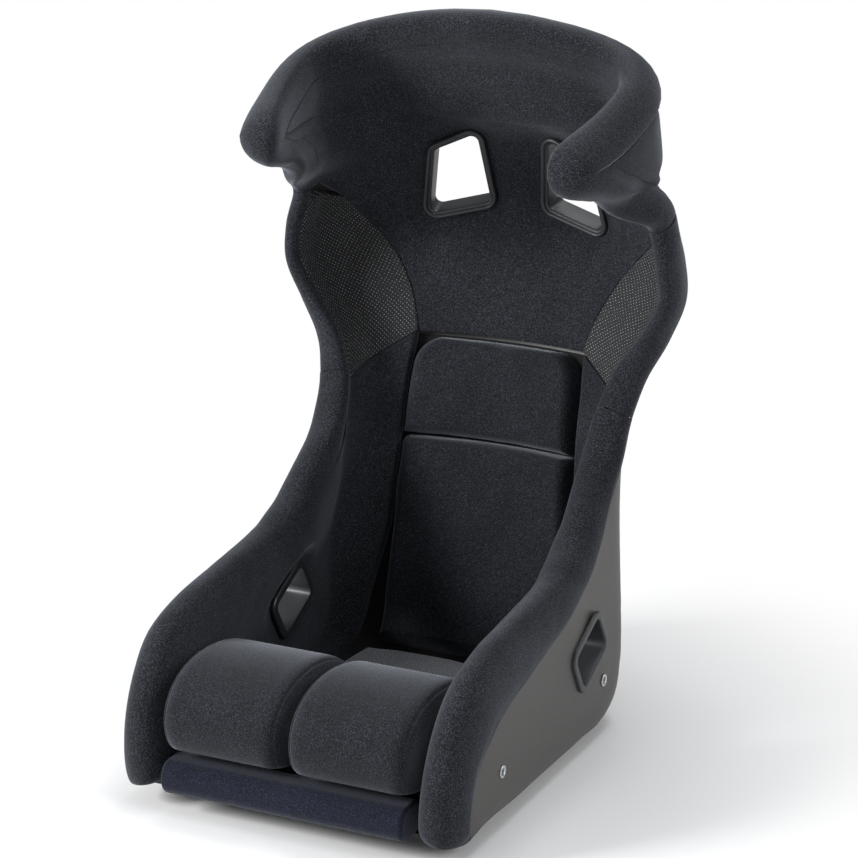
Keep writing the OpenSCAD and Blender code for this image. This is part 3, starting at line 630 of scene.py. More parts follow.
def tinted(colour, k):
    """A colour k times as bright."""
    return tuple(min(1, c * k) for c in colour[:3]) + (1,)


def noise(tree, scale, detail, **settings):
    """Noise over the object's own coordinates, scale in cells per metre."""
    at = add(tree, "ShaderNodeTexCoord").outputs["Object"]
    return add(tree, "ShaderNodeTexNoise", {"Scale": scale, "Detail": detail, **settings},
               {"Vector": at}).outputs["Fac"]


def span(tree, value, low, high):
    """A share from 0 to 1, as a value from low to high."""
    return add(tree, "ShaderNodeMapRange", {"To Min": low, "To Max": high},
               {"Value": value}).outputs["Result"]


def bumped(tree, height, strength, distance):
    return add(tree, "ShaderNodeBump", {"Strength": strength, "Distance": distance},
               {"Height": height}).outputs["Normal"]


def surface(mat, tree, settings, links):
    output(tree, add(tree, "ShaderNodeBsdfPrincipled", settings, links))
    return mat


def velour(name, deep, lit, pile=1.35, sheen=0.26, nap=0.16):
    """Knitted nylon velour, brushed: a dull short pile whose lit tips are painted into
    the colour as fine bright flecks, painted highlights, with slow patches where the nap lies another way."""
    mat, tree = blank(name)
    # Pile tufts stand about a millimetre apart
    fibre = noise(tree, 1000 / pile, 2.0, Roughness=0.7)
    patch = noise(tree, 14.0, 3.0, Roughness=0.55)
    # Painted highlights: the lit pile tips, and flecks three and a half times as bright, are painted into the
    # colour over the dark between them
    painted_tip_highlights = ramp(tree, fibre, [(0.40, deep), (0.56, lit), (0.68, tinted(lit, 3.4))])
    slow = ramp(tree, patch, [(0.35, (1 - nap,) * 3 + (1,)), (0.65, (1 + nap,) * 3 + (1,))])
    return surface(mat, tree,
                   {"Roughness": 0.92, "Specular IOR Level": 0.25, "Sheen Weight": sheen,
                    "Sheen Roughness": 0.4, "Sheen Tint": (0.8, 0.85, 0.95, 1)},
                   {"Base Color": mixed(tree, 1.0, painted_tip_highlights, slow, "MULTIPLY"),
                    "Normal": bumped(tree, fibre, 0.5, 0.0009)})


def grip_fabric(name, ground, dot_tone, pitch=4.0, size=1.1):
    """Polyester fabric with rows of small silicone dots: flat black ground,
    pale slightly glossy dots in staggered rows."""
    mat, tree = blank(name)
    where = add(tree, "ShaderNodeUVMap", {"uv_map": "UVMap"}).outputs["UV"]
    turn = add(tree, "ShaderNodeMapping", {"Rotation": (0, 0, math.pi / 4)},
               {"Vector": where}).outputs["Vector"]
    cell = add(tree, "ShaderNodeTexVoronoi", {"Scale": 1000 / pitch, "Randomness": 0.12}, {"Vector": turn})
    rim_at = size / pitch / 2
    spot = add(tree, "ShaderNodeMapRange", {"From Min": rim_at * 1.15, "From Max": rim_at * 0.75},
               {"Value": cell.outputs["Distance"]}).outputs["Result"]
    cloth = ramp(tree, noise(tree, 1100.0, 1.0), [(0.3, ground), (0.75, tinted(ground, 2.2))])
    return surface(mat, tree, {"Sheen Weight": 0.15, "Sheen Roughness": 0.4},
                   {"Base Color": mixed(tree, spot, cloth, dot_tone),
                    "Roughness": span(tree, spot, 0.8, 0.35), "Normal": bumped(tree, spot, 0.6, 0.0005)})


def laminate(name, colour):
    """Glass fibre laminate in satin gelcoat: smooth, faintly rippled by the
    mould, with a soft broad reflection."""
    mat, tree = blank(name)
    grain, cloud = noise(tree, 620.0, 2.0), noise(tree, 7.0, 2.0)
    base = ramp(tree, cloud, [(0.3, tinted(colour, 0.93)), (0.7, tinted(colour, 1.07))])
    return surface(mat, tree, {"IOR": 1.5}, {"Base Color": base,
                   "Roughness": span(tree, grain, 0.42, 0.56), "Normal": bumped(tree, grain, 0.12, 0.0003)})


def moulded(name, colour, low=0.38, high=0.52):
    """Injection moulded ABS, fine spark texture: satin, edges catch the light."""
    mat, tree = blank(name)
    grain = noise(tree, 1400.0, 2.0)
    base = ramp(tree, grain, [(0.3, tinted(colour, 0.85)), (0.7, tinted(colour, 1.15))])
    return surface(mat, tree, {"IOR": 1.53}, {"Base Color": base,
                   "Roughness": span(tree, grain, low, high), "Normal": bumped(tree, grain, 0.15, 0.0002)})


def plated(name, colour):
    """Zinc-plated steel: bright and a little clouded."""
    mat, tree = blank(name)
    cloud = noise(tree, 260.0, 3.0)
    return surface(mat, tree, {"Metallic": 1.0},
                   {"Base Color": ramp(tree, cloud, [(0.3, tinted(colour, 0.85)), (0.7, colour)]),
                    "Roughness": span(tree, cloud, 0.22, 0.4)})


def woven(name, deep, lit, thread=1.3, sheen=0.2):
    """Plain-woven polyester: matt, crossing threads as a fine check, painted darker in the gaps and lighter
    on the thread tops: painted shade.
    """
    mat, tree = blank(name)
    where = add(tree, "ShaderNodeUVMap", {"uv_map": "UVMap"}).outputs["UV"]
    scale = 1000 / thread / 6.2832 * 3.14
    bands = [add(tree, "ShaderNodeTexWave", {"bands_direction": way, "Scale": scale, "Distortion": 0.6},
                 {"Vector": where}).outputs["Fac"] for way in "XY"]
    height = add(tree, "ShaderNodeMath", {"operation": "MULTIPLY"}, {0: bands[0], 1: bands[1]}).outputs[0]
    return surface(mat, tree,
                   {"Roughness": 0.85, "Specular IOR Level": 0.3, "Sheen Weight": sheen,
                    "Sheen Roughness": 0.5},
                   # Painted shade: the colour follows the thread height, dark in the gaps between threads and
                   # lighter on the lit thread tops
                   {"Base Color": ramp(tree, height, [(0.0, deep), (0.8, lit)]),
                    "Normal": bumped(tree, height, 0.4, 0.0004)})


FINISHES = {}


def finish_of(key):
    """A finish and its slot; the panel's colours make it the first time it is asked for."""
    if key not in FINISHES:
        c = bpy.context.scene.seat_colours
        slot, make, *how = {
            # The velour finishes get a tips colour, painted highlights of the lit pile
            "velour": ("velour", velour, "Brushed nylon velour", c.velour, c.velour_lit_tips),
            "cushion": ("velour", velour, "Brushed nylon velour, cushions", c.cushion, c.cushion_lit_tips),
            "grip": ("grip_fabric", grip_fabric, "Silicone-dotted polyester", c.grip, c.grip_dots),
            "pan": ("grip_fabric", grip_fabric, "Dotted seat pan fabric", c.pan, c.pan_dots, 2.7, 1.15),
            "bar": ("bar_cloth", velour, "Brushed nylon velour, sill", c.bar, c.bar_lit_tips, 1.4, 0.2, 0.1),
            "lining": ("lining", woven, "Plain-woven polyester lining", c.lining, c.velour),
            "laminate": ("laminate", laminate, "Gelcoated glass fibre laminate", c.laminate),
            "bezel": ("bezel_plastic", moulded, "Moulded ABS, spark textured", c.bezel),
            "steel": ("zinc_steel", plated, "Zinc-plated steel", c.steel),
        }[key]
        FINISHES[key] = (make(*how), slot)
    return FINISHES[key]


# --------------------------------------------------------------- properties


def length_prop(name, description, value):
    return bpy.props.FloatProperty(name=name, description=description, default=value / 1000,
                                   min=0, unit="LENGTH", precision=4)


def colour_prop(name, description, text):
    return bpy.props.FloatVectorProperty(name=name, description=description, default=tone(text),
                                         subtype="COLOR", size=4, min=0, max=1)


class SeatSizes(bpy.types.PropertyGroup):
    sewn: length_prop("Sewn edge", "Radius at which a cover turns in at a seam", 1.7)
    hem: length_prop("Hem", "Radius of a cover's free hem", 1.5)
    foam: length_prop("Foam edge", "Radius of a cushion's edge", 13.0)
    wave: length_prop("Slack", "Height of the soft unevenness in the covers", 0.5)
    sink: length_prop("Slot sink", "How far the head pad dips towards the slots", 5.0)


class SeatColours(bpy.types.PropertyGroup):
    # Each tips colour paints the lit pile of a velour: fibre tone and painted highlight; the velour finish
    # brightens it further for its brightest flecks
    velour: colour_prop("Velour", "Between the pile tips of the fixed covers", "#08090b")
    velour_lit_tips: colour_prop("Velour tips", "Lit pile of the fixed covers", "#24262c")
    cushion: colour_prop("Cushion velour", "Between the pile tips of the loose cushions", "#090a0d")
    cushion_lit_tips: colour_prop("Cushion tips", "Lit pile of the loose cushions", "#1f2127")
    grip: colour_prop("Grip fabric", "Ground of the dotted fabric", "#0e0f10")
    grip_dots: colour_prop("Grip dots", "Dots of the dotted fabric", "#a9adb4")
    pan: colour_prop("Pan fabric", "Ground of the seat pan's fabric", "#26282c")
    pan_dots: colour_prop("Pan dots", "Dots of the seat pan's fabric", "#c4c8ce")
    bar: colour_prop("Sill cloth", "Between the pile tips on the front bar", "#090b12")
    bar_lit_tips: colour_prop("Sill tips", "Lit pile on the front bar", "#161a29")
    # The lining colour is painted into the thread gaps as painted shade, darker than the thread tops
    lining: colour_prop("Lining", "Thread gaps of the lining", "#08080a")
    laminate: colour_prop("Shell", "Gelcoat of the shell", "#403e3c")
    bezel: colour_prop("Bezels", "Plastic round the harness slots", "#26282b")
    steel: colour_prop("Inserts", "Plating of the mount inserts", "#c9ccd0")
    floor: colour_prop("Floor", "Studio floor", "#f2f2f2")


def mm(name):
    """A panel size in millimetres."""
    return getattr(bpy.context.scene.seat_sizes, name) * 1000


# ------------------------------------------------------------------- stage


class SEAT_OT_stage(bpy.types.Operator):
    """Pale floor, soft studio lamps and the camera"""
    bl_idname = "seat.stage"
    bl_label = "Studio"

    def execute(self, context):
        turn, rise = math.radians(CAMERA_TURN), math.radians(CAMERA_RISE)
        look = Vector((-math.sin(turn) * math.cos(rise), math.cos(turn) * math.cos(rise), -math.sin(rise)))
        lens = bpy.data.cameras.new("Camera")
        lens.lens, lens.sensor_width = LENS, 36.0
        lens.clip_end = 60
        camera = bpy.data.objects.new("Camera", lens)
        camera.location = CAMERA_AT
        camera.rotation_mode = "QUATERNION"
        camera.rotation_quaternion = look.to_track_quat("-Z", "Y")
        context.scene.collection.objects.link(camera)
        context.scene.camera = camera
        context.scene.view_settings.view_transform = "Standard"

        bm = bmesh.new()
        bmesh.ops.create_circle(bm, cap_ends=True, segments=96, radius=9.0)
        mesh = bpy.data.meshes.new("floor")
        bm.to_mesh(mesh)
        bm.free()
        floor = bpy.data.objects.new("floor", mesh)
        context.scene.collection.objects.link(floor)
        mat, tree = blank("Matt white studio paper")
        at = add(tree, "ShaderNodeTexCoord").outputs["Object"]
        far = add(tree, "ShaderNodeVectorMath", {"operation": "LENGTH"}, {0: at}).outputs["Value"]
        # Away from the seat the paper runs out into the white backdrop
        fade = add(tree, "ShaderNodeMapRange",
                   {"From Min": 0.33, "From Max": 0.76, "interpolation_type": "SMOOTHSTEP"},
                   {"Value": far}).outputs["Result"]
        paper = add(tree, "ShaderNodeBsdfDiffuse", {"Color": context.scene.seat_colours.floor})
        white = add(tree, "ShaderNodeEmission", {"Color": (1, 1, 1, 1), "Strength": 1.0})
        ray = add(tree, "ShaderNodeLightPath")
        seen = add(tree, "ShaderNodeMath", {"operation": "MAXIMUM"},
                   {0: ray.outputs["Is Camera Ray"], 1: ray.outputs["Is Glossy Ray"]}).outputs[0]
        share = add(tree, "ShaderNodeMath", {"operation": "MULTIPLY"}, {0: fade, 1: seen}).outputs[0]
        both = add(tree, "ShaderNodeMixShader", links={0: share, 1: paper.outputs[0], 2: white.outputs[0]})
        output(tree, both)
        mesh.materials.append(mat)

        world = bpy.data.worlds.new("Studio")
        context.scene.world = world
        world.use_nodes = True
        tree = world.node_tree
        tree.nodes.clear()
        ray = add(tree, "ShaderNodeLightPath")
        seen = add(tree, "ShaderNodeMath", {"operation": "MAXIMUM"},
                   {0: ray.outputs["Is Camera Ray"], 1: ray.outputs["Is Transmission Ray"]}).outputs[0]
        dim = add(tree, "ShaderNodeBackground", {"Color": (0.93, 0.96, 1.0, 1), "Strength": 0.32})
        white = add(tree, "ShaderNodeBackground", {"Color": (1, 1, 1, 1), "Strength": 1.0})
        both = add(tree, "ShaderNodeMixShader", links={0: seen, 1: dim.outputs[0], 2: white.outputs[0]})
        add(tree, "ShaderNodeOutputWorld", links={"Surface": both.outputs[0]})

        # Key from the front left above, a broad fill on the right, a strip behind
        for name, spot, size, power in (
                ("Key", (-2.1, -2.0, 1.5), (1.0, 1.0), 118),
                ("Fill", (2.8, -0.7, 1.8), (1.1, 1.5), 37),
                ("Top", (0.2, 0.7, 2.8), (1.4, 1.2), 34)):
            data = bpy.data.lights.new(name, "AREA")
            data.shape = "RECTANGLE"
            data.size, data.size_y = size
            data.energy = power
            lamp = bpy.data.objects.new(name, data)
            lamp.location = spot
            lamp.rotation_mode = "QUATERNION"
            lamp.rotation_quaternion = (Vector(LOOK_AT) - Vector(spot)).to_track_quat("-Z", "Y")
            context.scene.collection.objects.link(lamp)
        return {"FINISHED"}


# ------------------------------------------------------------------- shell


class SEAT_OT_shell(bpy.types.Operator):
    """The laminated shell with its harness openings and mount holes"""
    bl_idname = "seat.shell"
    bl_label = "Shell"

    def execute(self, context):
        us = np.concatenate([spread(24, 0, 4)[:-1], np.linspace(4, K - 1.6, 130),
                             spread(24, K - 1.6, K - 0.15)[1:]])
        shares = spread(72, -1, 1)
        top = reach(us)[:, None] * shares[None]
        u = np.broadcast_to(us[:, None], top.shape)
        face = outer(u, top)
        back = inside(u, top, SHELL_T)
        # The belly is flat where the seat stands
        for g in (face, back):
            g[..., 2] = np.maximum(g[..., 2], BELLY)
        piece = pillow("shell_laminate", back, face, "laminate", stands=("shell",))
        tools = [cutter(slug(SLOT_PTS, HOLE_R, -12, 20, slot_place), m) for m in (False, True)]
        tools += [cutter(slug(LAP_PTS, HOLE_R, -20, 20, lap_place), m) for m in (False, True)]
        a = np.linspace(0, 2 * math.pi, 33)[:-1]
        for side in (False, True):
            for y in (-1, 1):
                ring = np.stack([[THIGH + x + 0 * a, y * MOUNT_PITCH / 2 + INSERT_HOLE_R * np.cos(a),
                                  MOUNT_Z + INSERT_HOLE_R * np.sin(a)] for x in (-30, 10)])
                tools.append(cutter(np.moveaxis(ring, 1, 2), side))
        cut(piece, tools)
        return {"FINISHED"}


class SEAT_OT_inserts(bpy.types.Operator):
    """The four threaded mount inserts"""
    bl_idname = "seat.inserts"
    bl_label = "Mount inserts"

    def execute(self, context):
        bm = bmesh.new()
        r, c = MOUNT_D / 2, INSERT_D / 2
        line = [(r + 0.9, 1.5), (r + 1.1, 1.5), (c - 0.5, 1.5), (c - 0.15, 1.35), (c, 1.0), (c, 0.3),
                (r + 2, 0.3), (r + 2, -INSERT_LEN + 0.5), (r + 1.5, -INSERT_LEN), (r + 0.5, -INSERT_LEN)]
        x = -INSERT_LEN + 0.6
        while x < 0.4:  # the turns of the M8 thread
            line += [(r, x), (r + 0.65, x + 0.5), (r + 0.65, x + 0.72)]
            x += THREAD_PITCH
        line += [(r, 0.7)]
        verts = [bm.verts.new((px, 0, pz)) for px, pz in line]
        edges = [bm.edges.new((a, b)) for a, b in zip(verts, verts[1:] + verts[:1])]
        bmesh.ops.spin(bm, geom=verts + edges, cent=(0, 0, 0), axis=(0, 0, 1), angle=2 * math.pi,
                       steps=40, use_merge=True, use_duplicate=False)
        bmesh.ops.remove_doubles(bm, verts=bm.verts, dist=1e-4)
        one = bm.copy()
        bm.free()
        whole = bmesh.new()
        for side in (-1, 1):
            for y in (-1, 1):
                mesh = bpy.data.meshes.new("tmp")
                part = one.copy()
                place = Matrix.Translation((side * THIGH, y * MOUNT_PITCH / 2, MOUNT_Z))
                place = place @ Matrix.Rotation(side * math.pi / 2, 4, "Y")
                bmesh.ops.transform(part, matrix=place, verts=part.verts)
                part.to_mesh(mesh)
                part.free()
                whole.from_mesh(mesh)
                bpy.data.meshes.remove(mesh)
        one.free()
        finish_mesh("mount_inserts_steel", whole, "steel", stands=("mount_inserts",), sharp=30)
        return {"FINISHED"}


# ------------------------------------------------------------------ covers


def crest(t):
    """How far inside the rim the roll is highest."""
    return np.minimum(roll_w(t) * 0.42, roll_b(t) * 0.55)


def roll_profile(t, c, n_in=9, n_cap=22, n_out=9, seam_at_crest=False):
    """Cover and base points of the rim roll at each station of t."""
    h, o, e, wi, wo = (f(t)[:, None] for f in (roll_h, roll_o, roll_e, roll_w, roll_b))
    s, k, q, z = (f(t)[:, None] for f in (roll_s, roll_k, roll_q, roll_f))
    a0 = crest(t)[:, None]
    if seam_at_crest:
        wi, s = a0 + 3.0, h
    half, mid = (SHELL_T + h + o) / 2, (SHELL_T + h - o) / 2
    x1 = np.linspace(0, 1, n_in + 1)[None, :-1]
    ang = np.radians(np.linspace(90, -90, n_cap + 1))[None]
    x3 = np.linspace(0, 1, n_out + 1)[None, 1:]
    a = np.concatenate([-wi + (wi - a0) * x1, -a0 + (a0 + e) * np.cos(ang), -a0 - (wo - a0) * x3], 1)
    b = np.concatenate([SHELL_T + s + (h - s) * ease(x1), mid + half * (np.sin(ang) + k * np.cos(ang) ** 2),
                        -o + (o - q) * ease(x3)], 1)
    p = rim_point(t, c, a, b)
    # Base: along the shell's inner face, round its edge and back outside
    run = np.linspace(0, 1, n_cap + 1)[None]
    way = run * (2 * (a0 + z) + SHELL_T + 2 * z)
    one = a0 + z
    two = one + SHELL_T + 2 * z
    ba = np.where(way < one, -a0 + way, np.where(way > two, z - (way - one - SHELL_T - 2 * z), z))
    bb = np.where(way < one, SHELL_T + z, np.where(way > two, -z, SHELL_T + z - (way - one)))
    ia = np.concatenate([-wi + (wi - a0) * x1, ba, -a0 - (wo - a0) * x3], 1)
    ib = np.concatenate([SHELL_T + z + 0 * x1, bb, -z + 0 * x3], 1)
    return p, rim_point(t, c, ia, ib)


def pad_profile(t, c, n, full):
    """Cover and base points of the pad between the lining and the roll."""
    far = along(c, roll_w(t)[:, None])[:, 0]
    u0 = pad_row(t)
    near = np.stack([u0, share_at(u0, pad_x(u0))], -1)
    x = spread(2 * n)[:n + 1]
    x = x / x[-1]
    place = near[:, None] + (far - near)[:, None] * x[None, :, None]
    return laid(place, full[:, None]), laid(place, BED), place


def slope_to_crest(t, c, place, wide, calm_lap=False):
    """Soft slope of the cover from the lining up to the roll's crest: it rises over
    a distance wide, and stays low round the lap slot where calm_lap asks for it."""
    a0, wi = crest(t)[:, None], roll_w(t)[:, None]
    flank = along(c, wi + (a0 - wi) * np.linspace(0, 1, SLOPE_COLS)[None])
    place = np.concatenate([place[:, :-1], flank], 1)
    flat = outer(place[..., 0], place[..., 1])
    run = lengths(flat, 1)
    rise = 1 - ease((run[:, -1:] - run) / np.minimum(wide, run[:, -1:]))
    if calm_lap:
        rise = rise * ease((away(LAP_PTS, flat[..., 1] - LAP_O[1], flat[..., 2] - LAP_O[2]) - 19) / 26)
    low, high = SHELL_T + roll_s(t)[:, None], SHELL_T + roll_h(t)[:, None]
    return laid(place, low + (high - low) * rise)


def resewn(p, joint, k):
    """Lays a grid's columns anew so that column k of each row falls on place joint."""
    last = p.shape[1] - 1
    a = joint[:, None] * np.linspace(0, 1, k + 1)[None]
    b = joint[:, None] + (last - joint)[:, None] * np.linspace(0, 1, last - k + 1)[None, 1:]
    at = np.concatenate([a, b], 1)
    i = np.minimum(np.floor(at), last - 1).astype(int)
    f = (at - i)[..., None]
    rows = np.arange(len(p))[:, None]
    return p[rows, i] * (1 - f) + p[rows, i + 1] * f


class SEAT_OT_bolsters(bpy.types.Operator):
    """Thigh and waist bolsters: rim roll and side pad under one cover"""
    bl_idname = "seat.bolsters"
    bl_label = "Bolsters"

    def execute(self, context):
        ts = np.unique(np.round(np.concatenate([spread(60, 0.25, 9)[:31], np.linspace(4.7, 15.8, 110),
                                                spread(44, 14.4, T_SPLIT)[23:]]), 4))
        c = chain(ts, WALK_LOW)
        roll, roll_in = roll_profile(ts, c)
        pad, pad_in, place = pad_profile(ts, c, 22, SHELL_T + roll_s(ts))
        slope = slope_to_crest(ts, c, place, 105.0, calm_lap=True)
        n = pad.shape[1]
        pad, roll = slope[:, :n], np.concatenate([slope[:, n - 1:], roll[:, SLOPE_COLS:]], 1)
        # Towards the sill the side pad narrows into the roll
        keep = ease((ts - 2.3) / 0.9)[:, None, None] * 0.985 + 0.015
        pad = roll[:, :1] + (pad - roll[:, :1]) * keep
        pad_in = roll_in[:, :1] + (pad_in - roll_in[:, :1]) * keep
        cover = np.concatenate([pad[:, :-1], roll], 1)
        base = np.concatenate([pad_in[:, :-1], roll_in], 1)
        # Only the dotted cover is sewn across; the velour strip beyond it runs on
        across = mm("sewn") * (np.arange(cover.shape[1]) < slope.shape[1] + 7)[None]
        cover = tuck(cover, base, r0=ROLL_END, r1=across, c0=9.0, c1=mm("hem"))
        cover = swell(cover, 95, -mm("wave"))
        # The front ends reach down round the ends of the bar
        walked = np.linalg.norm(np.diff(roll_in[:, 0], axis=0), axis=-1)
        drop = ROLL_END * (1 - ease(np.concatenate([[0.0], np.cumsum(walked)]) / 48))[:, None]
        cover[..., 2] -= drop
        base[..., 2] -= drop
        for side, mirror in SIDES:
            piece = pillow(f"bolster_{side}", cover, base, "velour", mirror,
                           stands=(f"roll_{side}", f"side_pad_{side}"), fill=0.8)
            cut(piece, [cutter(slug(LAP_PTS, HOLE_R, -60, 20, lap_place), mirror)])
        return {"FINISHED"}


class SEAT_OT_shoulders(bpy.types.Operator):
    """Shoulder rolls and the dotted grip panels sewn between them and the back"""
    bl_idname = "seat.shoulders"
    bl_label = "Shoulders"

    def execute(self, context):
        sewn = mm("sewn")
        ts = spread(72, T_SPLIT + 0.02, T_NECK)
        c = chain(ts, WALK)
        roll, roll_in = roll_profile(ts, c)
        _, pad_in, place = pad_profile(ts, c, 30, SHELL_T + roll_s(ts))
        slope = slope_to_crest(ts, c, place, 80.0)
        whole = np.concatenate([slope, roll[:, SLOPE_COLS:]], 1)
        under = np.concatenate([pad_in[:, :-1], roll_in], 1)
        # The dotted cover ends on the roll, farther out at its foot
        k = slope.shape[1] + 3
        joint = slope.shape[1] - 1 + 22 * GRIP_TURN * (1 + 0.9 * ease((18.8 - ts) / 1.6)) / 180
        whole, under = resewn(whole, joint, k), resewn(under, joint, k)
        pad, pad_in, roll, roll_in = whole[:, :k + 1], under[:, :k + 1], whole[:, k:], under[:, k:]
        part = ts < 21.95
        pad = swell(tuck(pad[part], pad_in[part], sewn, sewn, sewn * 1.3, sewn), 70, -mm("wave"))
        pad_in = pad_in[part]
        roll = swell(tuck(roll, roll_in, 0, sewn, sewn, mm("hem")), 80, -mm("wave"))
        for side, mirror in SIDES:
            pillow(f"shoulder_{side}", roll, roll_in, "velour", mirror,
                   stands=(f"shoulder_roll_{side}",), fill=0.8)
            pillow(f"grip_panel_{side}", pad, pad_in, "grip", mirror,
                   stands=(f"grip_{side}",), fill=0.8)
        return {"FINISHED"}


def seam_strength(p, inner):
    """1 where a wing seam is drawn tight; the inner one dies away over the head's top,
    and under the wings both covers run on."""
    tight = ease((p[..., 2] - TIP_Z + 22) / 22)
    if inner:
        tight = tight * (1 - ease((p[..., 2] - HEAD_Z + 68) / 50))
    return 0.06 + 0.94 * tight


class SEAT_OT_head(bpy.types.Operator):
    """Head edge roll, head and back pad, and the outer wing panels"""
    bl_idname = "seat.head"
    bl_label = "Head"

    def execute(self, context):
        sewn = mm("sewn")
        ts = np.minimum(spread(130, T_NECK + 0.04, 2 * K - T_NECK)[:66], K)
        c = chain(ts, WALK)
        roll, roll_in = roll_profile(ts, c, seam_at_crest=True)
        roll[-1, :, 0] = 0
        roll_in[-1, :, 0] = 0
        cover = np.concatenate([roll, roll[-2::-1] * [-1, 1, 1]])
        base = np.concatenate([roll_in, roll_in[-2::-1] * [-1, 1, 1]])
        cover = tuck(cover, base, sewn, sewn, sewn * seam_strength(cover, True),
                     sewn * seam_strength(cover, False))
        cover = swell(cover, 90, -mm("wave"))
        pillow("head_edge", cover, base, "velour", stands=("head_roll",), fill=0.8)

        edge_t = np.concatenate([np.linspace(T_NECK, K - 0.8, 110), spread(30, K - 0.8, K)[1:]])
        e = along(chain(edge_t, WALK), (crest(edge_t) + 3 + SEAM)[:, None])[:, 0]
        rising = e[:, 0] > np.concatenate([[22.1], np.maximum.accumulate(e[:-1, 0])]) + 0.004
        e, top_t = e[rising], edge_t[rising]
        low = np.linspace(18.02, 21.9, 40)
        rows = np.concatenate([np.stack([low, share_at(low, pad_x(low) - SEAM)], -1), e])
        half = spread(96, -1, 1)
        u = np.broadcast_to(rows[:, :1], (len(rows), len(half)))
        w = np.maximum(0.003, rows[:, 1:]) * half[None]
        q = outer(u, w)
        depth = SHELL_T + PANEL_T + HEAD_EXTRA * ease((q[..., 2] - 645) / 60) \
            * ease((HEAD_Z - 33 - q[..., 2]) / 40) * ease((170 - np.abs(q[..., 0])) / 90)
        depth = depth + ease((q[..., 2] - 600) / 40)
        # Toward the seam the pad swells to the height of the edge roll
        seam_line = outer(e[:, 0], e[:, 1])
        off = np.linalg.norm((q * np.sign(q[..., :1] + 1e-9) ** [1, 0, 0])[:, :, None] - seam_line, axis=-1)
        near = off.argmin(-1)
        full = (SHELL_T + roll_h(top_t))[near]
        depth = depth + np.maximum(0, full - depth) * (1 - ease(off.min(-1) / 78))
        cover = inside(u, w, depth)
        base = inside(u, w, BED)
        gap = slot_distance(cover)
        ring = CORNER + BEZEL_W
        cover = cover - (mm("sink") * ease(1 - (gap - ring) / 26))[..., None] * inward(u, w)
        tight = np.where(u < 22.05, sewn, sewn * seam_strength(cover, True))
        cover = tuck(cover, base, sewn, 0, tight, tight)
        cover = swell(cover, 110, -mm("wave"))
        piece = pillow("head_back_pad", cover, base, "velour", stands=("back_panel",), fill=0.7)
        # The hole widens to the bezel's seat
        seat, wide = SHELL_T + PANEL_T - 3, ring + FIT
        hole = swept(SLOT_PTS, [(HOLE_R, -20), (HOLE_R, seat), (wide, seat), (wide, 90)], slot_place)
        cut(piece, [cutter(hole, mirror) for mirror in (False, True)])

        # Behind the wing tip the panel's edge takes the short way past the fold
        tw = np.concatenate([np.linspace(23, 25.2, 40), np.linspace(27.82, 30, 34)])
        cw = chain(tw, WALK)
        a = along(cw, (roll_b(tw) + SEAM)[:, None])[:, 0]
        b = np.stack([a[:, 0], share_at(a[:, 0], 168.0)], -1)
        x = spread(60)
        place = a[:, None] + (b - a)[:, None] * x[None, :, None]
        thick = roll_q(tw)[:, None] * (1 - 0.6 * ease((x - 0.75) / 0.25))[None]
        thick = thick * (1 - 0.3 * ease((tw - 29) / 1))[:, None]
        cover, base = laid(place, -thick), laid(place, -8 * FIT)
        cover = tuck(cover, base, sewn, sewn, sewn * seam_strength(cover, False), mm("hem"))
        for side, mirror in SIDES:
            pillow(f"wing_cover_{side}", cover, base, "velour", mirror,
                   stands=(f"wing_panel_{side}",), fill=0.6)
        return {"FINISHED"}


class SEAT_OT_lining(bpy.types.Operator):
    """Woven lining behind the loose cushions"""
    bl_idname = "seat.lining"
    bl_label = "Lining"

    def execute(self, context):
        us = np.linspace(0.75, 17.95, 130)
        w = share_at(us, pad_x(us) - SEAM)[:, None] * np.linspace(-1, 1, 49)[None]
        u = np.broadcast_to(us[:, None], w.shape)
        cover, base = inside(u, w, BED + LINER_T), inside(u, w, BED)
        pillow("lining_cloth", tuck(cover, base, 1, 1, 1, 1), base, "lining",
               stands=("liner",), fill=0.9)
        return {"FINISHED"}


class SEAT_OT_pan(bpy.types.Operator):
    """Fixed pad on the seat pan"""
    bl_idname = "seat.pan"
    bl_label = "Pan pad"

    def execute(self, context):
        mid, half = (PAN_FRONT + PAN_REAR) / 2, (PAN_REAR - PAN_FRONT) / 2
        x, y = np.meshgrid(spread(56, -PAN_HALF, PAN_HALF), spread(56, mid - half, mid + half), indexing="ij")
        low = BELLY + BED + LINER_T + FIT + 0.1
        edge = np.minimum(PAN_HALF - np.abs(x), half - np.abs(y - mid))
        crown = 1 - 0.05 * ((x / PAN_HALF) ** 2 + ((y - mid) / half) ** 2)
        round_off = np.sqrt(np.clip(1 - (1 - np.clip(edge / PAN_EDGE, 0, 1)) ** 2, 0, 1))
        top = low + (PAN_Z - low) * (0.05 + 0.95 * round_off) * crown
        pull = 1 - 0.02 * (1 - np.abs(np.abs(x) / PAN_HALF - np.abs(y - mid) / half))
        cover = np.stack([x * pull, mid + (y - mid) * pull, top], -1)
        base = np.stack([x * pull, mid + (y - mid) * pull, np.full(x.shape, low)], -1)
        pillow("pan_pad_cover", swell(cover, 60, mm("wave")), base, "pan",
               stands=("pan_pad",), fill=0.8)
        return {"FINISHED"}


